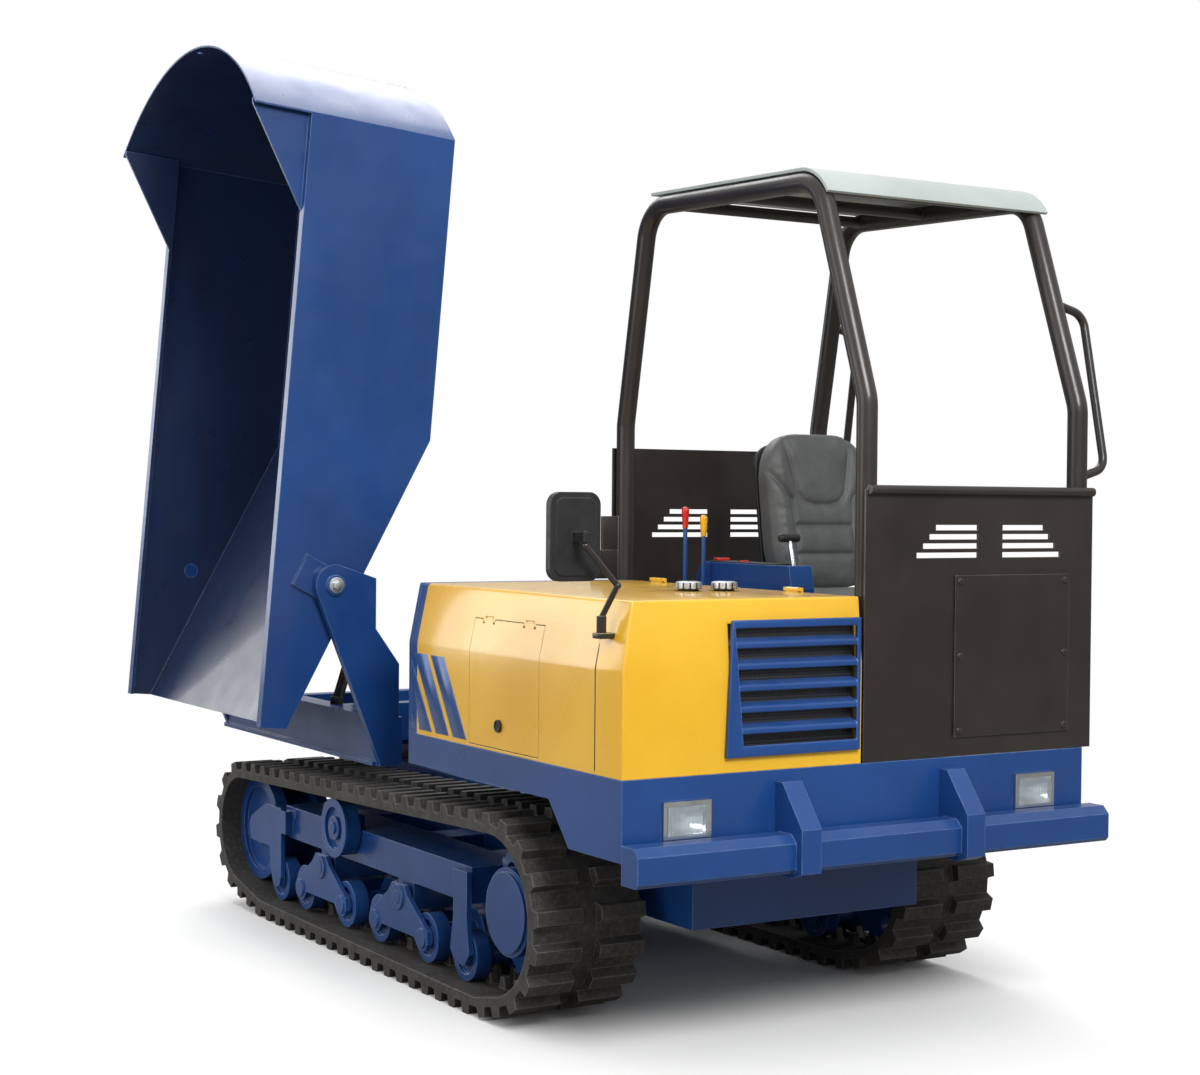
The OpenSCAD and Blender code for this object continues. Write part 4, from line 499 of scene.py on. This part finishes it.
# Black strip in the gap between the hood and the front cowl: painted shade that draws the seam
upright_seam_shade = block("seam_shade", (1479.3, -800.7, 786), (1484, -797, BONNET_CREASE))
slope_seam_shade = block("seam_shade", (1479.3, -800.7, BONNET_CREASE), (1484, -797, 1222))
shifted(slope_seam_shade, lambda m, d: abs(d.x) > ALONG and m.z > 1200, (0, 35.3, 0))
seam_shade_parts = [eased(part, 0.8, 2) for part in (upright_seam_shade, slope_seam_shade)]
fitted(joined("hood_seam_shade_strip", seam_shade_parts), "machine", "hose_rubber")


def along(seam, at):
    """Distance in metres from a point to the nearest stretch of a seam, both seen from above."""
    gaps = []
    for a, b in zip(seam, seam[1:]):
        run = b - a
        share = max(0, min(1, (at - a).dot(run) / run.length_squared))
        gaps.append((at - a - share * run).length)
    return min(gaps)


def swell(at, middle, width):
    """Soft rise that is 1 at its middle and dies away over its width."""
    return math.exp(-((at - middle) / width) ** 2)


SQUARENESS = 5
CLOTH_FRAMES = 20


def stuffed(name, length, width, depth, shape, seams, cap_mm):
    """Sewn pad about its middle, its length along X and its sitting face up: rounded by shape, blown up as
    cloth, then drawn in along its seams. Seams run in shares of the half length and half width."""
    bpy.ops.object.select_all(action="DESELECT")
    bpy.ops.mesh.primitive_cube_add(size=2)
    pad = bpy.context.object
    pad.name = name
    bpy.ops.object.mode_set(mode="EDIT")
    bpy.ops.mesh.subdivide(number_cuts=22)
    bpy.ops.object.mode_set(mode="OBJECT")
    half = Vector((length, width, depth)) / 2000
    for v in pad.data.vertices:
        v.co *= sum(abs(c) ** SQUARENESS for c in v.co) ** (-1 / SQUARENESS)
        v.co = shape(*v.co)
        v.co = Vector(a * b for a, b in zip(v.co, half))
    baked(pad, "REMESH", mode="VOXEL", voxel_size=0.006)
    before = [v.co.copy() for v in pad.data.vertices]
    stuffing = pad.modifiers.new("stuffing", "CLOTH")
    stuffing.settings.use_pressure = True
    stuffing.settings.uniform_pressure_force = 4
    stuffing.settings.effector_weights.gravity = 0
    for f in range(1, CLOTH_FRAMES + 1):
        scene.frame_set(f)
    only(pad)
    bpy.ops.object.modifier_apply(modifier=stuffing.name)
    for v, old in zip(pad.data.vertices, before):
        move = v.co - old
        v.co = old + move * min(1, cap_mm / 1000 / max(move.length, 1e-9))
    scene.frame_set(1)
    lines = [[Vector((s * half.x, t * half.y)) for s, t in seam] for seam in seams]
    for v in pad.data.vertices:
        if v.normal.z > 0.2:
            near = min(along(line, v.co.to_2d()) for line in lines)
            # A narrow stitched groove in a broad dip
            v.co.z -= 0.009 * swell(near, 0, 0.007) + 0.004 * swell(near, 0, 0.022)
    baked(pad, "SUBSURF", levels=1, render_levels=1)
    only(pad)
    bpy.ops.object.shade_smooth()
    return pad


def cushion_shape(s, t, d):
    """Cushion: raised bolsters at the sides, a raised roll along the front, drawn-in flanks."""
    t *= 1 - 0.04 * (1 - s * s)
    if d > 0:
        d *= 0.80 + 0.16 * swell(abs(t), 0.84, 0.2) + 0.14 * swell(s, 0.78, 0.24)
    return Vector((s, t, d))


def back_shape(s, t, d):
    """Backrest: shoulders narrower than the middle, bolsters down both sides, thicker over the loins."""
    t *= 1 - 0.15 * max(0, (s - 0.35) / 0.65) ** 2 - 0.07 * max(0, (-s - 0.3) / 0.7) ** 2
    if d > 0:
        bolsters = 0.24 * swell(abs(t), 0.82, 0.2) * (1 - 0.5 * max(0, s))
        d *= 0.74 + bolsters + 0.12 * swell(s, -0.45, 0.4)
    return Vector((s, t, d))


cushion_seams = [[(-0.9, -0.62), (0.98, -0.66)], [(-0.9, 0.62), (0.98, 0.66)], [(0.52, -0.64), (0.52, 0.64)],
                 [(0.08, -0.64), (0.08, 0.64)], [(-0.36, -0.63), (-0.36, 0.63)]]
head_half = [(0.98, -0.66), (0.22, -0.46), (0.11, -0.34), (0.07, -0.15)]
head_panel = head_half + [(s, -t) for s, t in reversed(head_half)]
flank_seam = [(0.52, -0.98), (0.14, -0.6), (-0.2, -0.56), (-0.95, -0.58)]
back_seams = [head_panel, [(-0.2, -0.56), (-0.2, 0.56)], [(-0.56, -0.56), (-0.56, 0.56)],
              flank_seam, [(s, -t) for s, t in flank_seam]]

SEAT_Y = 0.490
cushion = stuffed("seat_cushion_pad", 424, 432, 108, cushion_shape, cushion_seams, cap_mm=5)
cushion.data.transform(Matrix.Translation((1.040, SEAT_Y, 1.177)))
fitted(cushion, "seat", "seat_vinyl", stands_for=["seat_cushion"])

# Backrest pad, its moulded shell and its two ears, leaning back about the recline pins
lean = Matrix.Translation((0.775, SEAT_Y, 1.190)) @ Matrix.Rotation(math.radians(-8), 4, "Y")
upright = Matrix(((0, 0, 1, -0.020), (0, -1, 0, 0), (1, 0, 0, 0.278), (0, 0, 0, 1)))
backrest = stuffed("seat_back_pad", 512, 412, 104, back_shape, back_seams, cap_mm=5)
backrest.data.transform(lean @ upright)
fitted(backrest, "seat_backrest", "seat_vinyl", stands_for=["seat_backrest"])

shell = block("seat_back_shell", (-235, -190, -66), (225, 190, -52))
rounded(shell, lambda m, d: abs(d.z) > ALONG, 70, 8)
eased(shell, 4)
shell.data.transform(lean @ upright)
ears = []
for side in (-1, 1):
    ear = block("ear", (-40, side * 175 - 7, -20), (20, side * 175 + 7, 130))
    rounded(ear, lambda m, d: abs(d.y) > ALONG, 18, 6)
    eased(ear, 2)
    ear.data.transform(lean)
    ears.append(ear)
fitted(shell, "seat_backrest", "black_plastic")
fitted(joined("seat_back_ears", ears), "seat_backrest", "black_paint")


# Skip levers: painted rods on a pivot boss, with a drawn-out knob, fuller towards its top
def skip_lever(name, x, y, top, knob_slot):
    pivot = 1164
    rod = round_bar(name + "_rod", (x, y, pivot), (x, y, top - 60), 7)
    boss = round_bar("boss", (x, y - 9, pivot), (x, y + 9, pivot), 14)
    fitted(joined(name + "_rod", [eased(rod, 1), eased(boss, 1.5)]), name, "blue_paint", stands_for=[name])
    knob = round_bar(name + "_knob", (x, y, top - 68), (x, y, top), 8.5, 13)
    rounded(knob, lambda m, d: m.z > top - 1, 11, 7)
    fitted(eased(knob, 1.2), name, knob_slot)


skip_lever("red_lever", 600, 60, 1474, "red_plastic")
skip_lever("yellow_lever", 660, 90, 1449, "yellow_plastic")

# Travel lever: a bright rod in a boss, leaning back, with a black cross grip
CONSOLE_Y = 163.5
at_pivot = Matrix.Translation((1.050, CONSOLE_Y / 1000, 1.270)) @ Matrix.Rotation(math.radians(-16), 4, "Y")
stem = eased(round_bar("stem", (0, 0, 0), (0, 0, 118), 7), 1)
boss = eased(round_bar("boss", (0, -9, 0), (0, 9, 0), 14), 1.5)
stem = joined("travel_lever_stem", [stem, boss])
stem.data.transform(at_pivot)
fitted(stem, "travel_lever", "bright_rod", stands_for=["travel_lever"])
grip = round_bar("travel_lever_grip", (0, -38, 118), (0, 38, 118), 13)
rounded(grip, lambda m, d: abs(abs(m.y) - 38) < 1, 9, 6)
eased(grip, 0.8)
grip.data.transform(at_pivot)
fitted(grip, "travel_lever", "black_plastic")

# Mirror glass in the recess of the mirror head
glass = block("mirror_glass", (1518.2, -965, 1293), (1520.5, -831, 1507))
rounded(glass, lambda m, d: abs(d.x) > ALONG, 26, 8)
fitted(eased(glass, 0.5), "mirror_head", "lamp_chrome")

# Shelf under the mirror arm
shelf = eased(block("mirror_shelf", (1511, -829, 1135), (1549, -776, 1150.2)), 3)
fitted(shelf, "machine", "black_paint")


# Three slanted blue bands low on the bonnet side, and the cut-off corner of a fourth
def band_piece(top, bottom, z_top, z_bottom=790):
    strip = block("band", (top[0], BONNET_SIDE - 0.9, z_bottom), (top[1], BONNET_SIDE + 0.4, z_top))
    for x_top, x_bottom in ((top[1], bottom[1]), (top[0], bottom[0])):
        shifted(strip, lambda m, d: abs(d.y) > ALONG and m.z < z_bottom + 1 and abs(m.x - x_top) < 0.4,
                (x_bottom - x_top, 0, 0))
    return eased(strip, 0.3, 2, 30)


bands = [band_piece((518, 604), (668, 754), 1022), band_piece((406, 492), (556, 642), 1022),
         band_piece((389, 391), (444, 530), 996), band_piece((389, 390), (389, 418), 836)]
fitted(joined("bonnet_bands", bands), "engine_hood", "blue_paint")

# Black lock in the service door, with a raised rim and a sunk middle
lock = round_bar("door_lock", (953, -808, 850), (953, -799, 850), 18)
pick(lock, "FACE", lambda m, d: d.y < -ALONG)
bpy.ops.mesh.inset(thickness=0.005)
bpy.ops.mesh.extrude_region_move(TRANSFORM_OT_translate={"value": (0, 0.003, 0)})
bpy.ops.object.mode_set(mode="OBJECT")
fitted(eased(lock, 1), "service_door", "black_plastic")

# Satin aluminium of the filler caps: pale and soft, without a mirror image
satin = bright("satin_cast_aluminium", "#d3d6d7", "#bcc0c2", 0.38, 4, (1, 1, 1))
CAP_SIDES = 48


def notched(x, y):
    """Every fourth side face of a filler cap, counted round its middle."""
    return round(math.atan2(y, x) / math.tau * CAP_SIDES - 0.5) % 4 == 0


# Filler caps with finger notches round the rim
for i, (x, y) in enumerate(((1150, -290), (1185, -190))):
    cap = round_bar("filler_cap_%d" % (i + 1), (x, y, 1241.5), (x, y, 1260), 39, 38, CAP_SIDES)
    pick(cap, "FACE", lambda m, d: abs(d.z) < 0.3 and notched(m.x - x, m.y - y))
    bpy.ops.mesh.extrude_faces_move(TRANSFORM_OT_shrink_fatten={"value": -0.003})
    bpy.ops.object.mode_set(mode="OBJECT")
    pick(cap, "FACE", lambda m, d: d.z > ALONG)
    bpy.ops.mesh.inset(thickness=0.010)
    bpy.ops.transform.translate(value=(0, 0, 0.0025))
    bpy.ops.object.mode_set(mode="OBJECT")
    fitted(eased(cap, 1.2), "machine", "bright_rod", satin)


def bent_pipe(name, corners, bend, r):
    """Pipe through corner points in mm, with round bends, its place in its mesh."""
    corners = [Vector(c) / 1000 for c in corners]
    bend /= 1000
    path = [corners[0]]
    for a, b, c in zip(corners, corners[1:], corners[2:]):
        into, out = (b - a).normalized(), (c - b).normalized()
        turn = into.angle(out)
        hub = b + (out - into).normalized() * bend / math.cos(turn / 2)
        start = b - into * bend * math.tan(turn / 2) - hub
        steps = max(3, round(math.degrees(turn) / 7))
        hinge = into.cross(out)
        path += [hub + Matrix.Rotation(turn * i / steps, 3, hinge) @ start for i in range(steps + 1)]
    path.append(corners[-1])
    curve = bpy.data.curves.new(name, "CURVE")
    curve.dimensions = "3D"
    line = curve.splines.new("POLY")
    line.points.add(len(path) - 1)
    for point, at in zip(line.points, path):
        point.co = (*at, 1)
    curve.bevel_depth = r / 1000
    curve.bevel_resolution = 7
    curve.use_fill_caps = True
    pipe = bpy.data.objects.new(name, curve)
    scene.collection.objects.link(pipe)
    only(pipe)
    bpy.ops.object.convert(target="MESH")
    bpy.ops.object.shade_smooth_by_angle(angle=math.radians(40))
    return pipe


# Roll frame: two hoops bent from tube, three cross tubes, two grab handles, foot plates and the stepped stay
HOOP_YS = (10, 800)
FOOT_Z = 775.3
hoop_line = ((315, FOOT_Z), (315, 1740), (450, 2440), (1360, 2414), (1584, 1780), (1584, FOOT_Z))
tubes = [bent_pipe("hoop", [(x, y, z) for x, z in hoop_line], 120, 30) for y in HOOP_YS]
(rear_x, rear_z), (front_x, front_z) = hoop_line[2:4]
for x in (560, 880, 1230):
    z = rear_z + (front_z - rear_z) * (x - rear_x) / (front_x - rear_x)
    tubes.append(bent_pipe("cross", [(x, HOOP_YS[0], z), (x, HOOP_YS[1], z)], 1, 18))
for ends in (((1584, 1570), (1471, 2100)), ((315, 1640), (384.4, 2100))):
    low, high = (Vector((x, HOOP_YS[1], z)) for x, z in ends)
    rise = (high - low).normalized() * 34
    out = Vector((0, 118, 0))
    tubes.append(bent_pipe("handle", [low, low + rise + out, high - rise + out, high], 52, 13))
for y in HOOP_YS:
    for x0, x1 in ((288, 373), (1526, 1611)):
        tubes.append(eased(block("foot", (x0, y - 36, FOOT_Z), (x1, y + 36, FOOT_Z + 10)), 2))
for y, z0, z1 in ((-120, 1236, 1331), (-80, 1330, 1441)):
    tubes.append(eased(block("stay", (309, y, z0), (321, 10, z1)), 2))
fitted(joined("roll_frame", tubes), "machine", "black_paint", stands_for=["rops_frame"])

# Console top: a black padded strip with the horn button through it and a red lamp at its rear end
strip = block("console_strip", (625, 128, 1299.6), (1000, 199, 1304))
rounded(strip, lambda m, d: abs(d.z) > ALONG, 14, 5)
hole = round_bar("hole", (780, CONSOLE_Y, 1280), (780, CONSOLE_Y, 1320), 17.5)
baked(strip, "BOOLEAN", operation="DIFFERENCE", object=hole)
bpy.data.objects.remove(hole)
fitted(eased(strip, 1.2), "machine", "black_plastic")
lens = block("console_lamp", (640, 140, 1303), (672, 187, 1313))
fitted(eased(lens, 4), "machine", "red_plastic")

# Lamp bowls: a dished bright reflector behind each lens, with a bulb in it
LAMP_Y, LAMP_Z = 605, 660
for side, name in ((-1, "right"), (1, "left")):
    bpy.ops.object.select_all(action="DESELECT")
    bpy.ops.mesh.primitive_grid_add(x_subdivisions=28, y_subdivisions=40, size=1)
    bowl = bpy.context.object
    bowl.name = "lamp_bowl_" + name
    for v in bowl.data.vertices:
        u, w = v.co.x * 2, v.co.y * 2
        depth = 30 * max(0, 1 - (u * u + w * w) / 1.5)
        v.co = Vector((1622 - depth, side * LAMP_Y + w * 62, LAMP_Z + u * 39)) / 1000
    baked(bowl, "SOLIDIFY", thickness=0.0015, offset=0)
    only(bowl)
    bpy.ops.object.mode_set(mode="EDIT")
    bpy.ops.mesh.select_all(action="SELECT")
    bpy.ops.mesh.normals_make_consistent(inside=False)
    bpy.ops.object.mode_set(mode="OBJECT")
    bpy.ops.object.shade_smooth()
    fitted(bowl, "machine", "lamp_chrome")
    bulb = round_bar("lamp_bulb_" + name, (1594, side * LAMP_Y, LAMP_Z), (1612, side * LAMP_Y, LAMP_Z), 9, 6)
    fitted(eased(bulb, 3), "machine", "lamp_glass")

# Bright hexagon bolts with washers on the ends of the tipping pins
SLEW_X, PIN_END, PIN_Y, PIN_Z = -700, 700, -880, 1213
for side, name in ((-1, "rear"), (1, "front")):
    x = SLEW_X + side * PIN_END
    washer = eased(round_bar("washer", (x - side, PIN_Y, PIN_Z), (x + side * 4, PIN_Y, PIN_Z), 26), 1)
    head = eased(round_bar("head", (x, PIN_Y, PIN_Z), (x + side * 16, PIN_Y, PIN_Z), 17, sides=6), 2)
    fitted(joined("pin_bolt_" + name, [washer, head]), "turntable", "bright_rod", satin)


def mesh_plate():
    """Pierced black sheet: round holes 9 mm apart in straight rows, drawn as near-black spots of painted
    shade.
    """
    mat, tree, shader, where = blank("pierced_black_sheet")
    holes = {"Scale": 1000 / 9, "Randomness": 0.0}
    cells = add(tree, "ShaderNodeTexVoronoi", holes, {"Vector": where}).outputs["Distance"]
    # Painted shade: the holes are near-black spots on the sheet
    feed(tree, shader, "Base Color", mix(tree, band(tree, cells, 0.28, 0.36), "#0a0a0b", "#2b2d33"))
    feed(tree, shader, "Roughness", patches(tree, where, 25, 3, 0.45, 0.6))
    bump(tree, shader, band(tree, cells, 0.25, 0.4), 1.0, 0.8)
    return mat


# Grille: a frame that is wide on its outer side, and five bars with round noses
frame_block = block("grille_frame", (1620.5, -483.7, 815.3), (1634, -40.3, 1179.7))
shifted(frame_block, lambda m, d: abs(d.x) > ALONG and m.y < -483 and m.z > 1179, (0, 16, 0))
window = block("window", (1600, -430, 845), (1650, -52, 1158))
shifted(window, lambda m, d: abs(d.x) > ALONG and m.y < -429 and m.z > 1157, (0, -30, 0))
baked(frame_block, "BOOLEAN", operation="DIFFERENCE", object=window)
bpy.data.objects.remove(window)
bars = [eased(frame_block, 3)]
BARS, BARS_LOW, BARS_RISE = 5, 826, 343
for i in range(1, BARS + 1):
    z = BARS_LOW + i * BARS_RISE / (BARS + 1)
    bar = block("bar", (1600, -470, z - 9), (1633, -46, z + 9))
    shifted(bar, lambda m, d: abs(d.y) > ALONG and m.x < 1601, (0, 0, 12))
    bars.append(eased(bar, 6, 4))
fitted(joined("grille_bars", bars), "machine", "blue_paint", stands_for=["radiator_grille"])

# Pierced sheet behind the grille bars
screen = block("grille_screen", (1601, -470, 826), (1603, -49, 1170))
fitted(eased(screen, 0.5), "machine", "black_paint", mesh_plate())


def seen_directly(tree):
    """1 for rays straight from the camera or through glass, and 0 for others."""
    ray = add(tree, "ShaderNodeLightPath")
    links = {0: ray.outputs["Is Camera Ray"], 1: ray.outputs["Is Transmission Ray"]}
    return add(tree, "ShaderNodeMath", {"operation": "MAXIMUM"}, links).outputs[0]


# Pale studio floor, soft light from a bright dome, and broad lamps
bpy.ops.object.select_all(action="DESELECT")
bpy.ops.mesh.primitive_plane_add(size=120)
floor = bpy.context.object
floor.name = "floor"
pale, tree, shader, where = blank("pale_studio_floor")
camera_ray = add(tree, "ShaderNodeLightPath").outputs["Is Camera Ray"]
paving = mix(tree, noise(tree, where, 900, 4), "#f6f6f5", "#f1f1f0")
feed(tree, shader, "Base Color", mix(tree, camera_ray, "#8d8b86", paving))
shader.inputs["Roughness"].default_value = 0.8
shader.inputs["Specular IOR Level"].default_value = 0.1
# Away from the machine the floor turns to plain white for direct rays, so that no horizon shows
away = add(tree, "ShaderNodeVectorMath", {"operation": "LENGTH"}, {0: where}).outputs["Value"]
softly = {"interpolation_type": "SMOOTHSTEP", "From Min": 2.0, "From Max": 4.6}
fade = add(tree, "ShaderNodeMapRange", softly, {"Value": away}).outputs[0]
glow = add(tree, "ShaderNodeEmission", {"Color": (1, 1, 1, 1), "Strength": 1.0}).outputs[0]
whitened = times(tree, fade, seen_directly(tree))
blend = add(tree, "ShaderNodeMixShader", None, {0: whitened, 1: shader.outputs[0], 2: glow}).outputs[0]
feed(tree, tree.nodes["Material Output"], "Surface", blend)
floor.data.materials.append(pale)
floor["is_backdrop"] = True

world = bpy.data.worlds.new("studio")
scene.world = world
world.use_nodes = True
tree = world.node_tree
tree.nodes.clear()
sky = add(tree, "ShaderNodeTexCoord").outputs["Generated"]
height = add(tree, "ShaderNodeSeparateXYZ", None, {0: sky}).outputs["Z"]
dome = mix(tree, band(tree, height, -0.02, 0.3), "#8f9398", "#ffffff")
soft = add(tree, "ShaderNodeBackground", {"Strength": 0.75}, {"Color": dome}).outputs[0]
white = add(tree, "ShaderNodeBackground", {"Strength": 1.0, "Color": (1, 1, 1, 1)}).outputs[0]
both = add(tree, "ShaderNodeMixShader", None, {0: seen_directly(tree), 1: soft, 2: white}).outputs[0]
add(tree, "ShaderNodeOutputWorld", None, {"Surface": both})


def lamp(name, at, to, size, watts):
    data = bpy.data.lights.new(name, "AREA")
    data.shape = "DISK"
    data.size = size
    data.energy = watts
    obj = bpy.data.objects.new(name, data)
    scene.collection.objects.link(obj)
    aim = (Vector(to) - Vector(at)).to_track_quat("-Z", "Y").to_matrix().to_4x4()
    obj.matrix_world = Matrix.Translation(at) @ aim


lamp("key", (7.0, -1.4, 5.5), (0.3, 0, 0.9), 3.0, 420)
lamp("sheen", (-4.5, 1.0, 8.0), (-0.2, -0.4, 1.6), 7.0, 440)
lamp("low_sky", (-6.0, -4.4, 2.6), (1.0, -0.8, 1.15), 4.0, 120)
lamp("fill", (1.0, -7.5, 3.5), (0, 0, 1.6), 5.0, 130)

low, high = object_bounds()
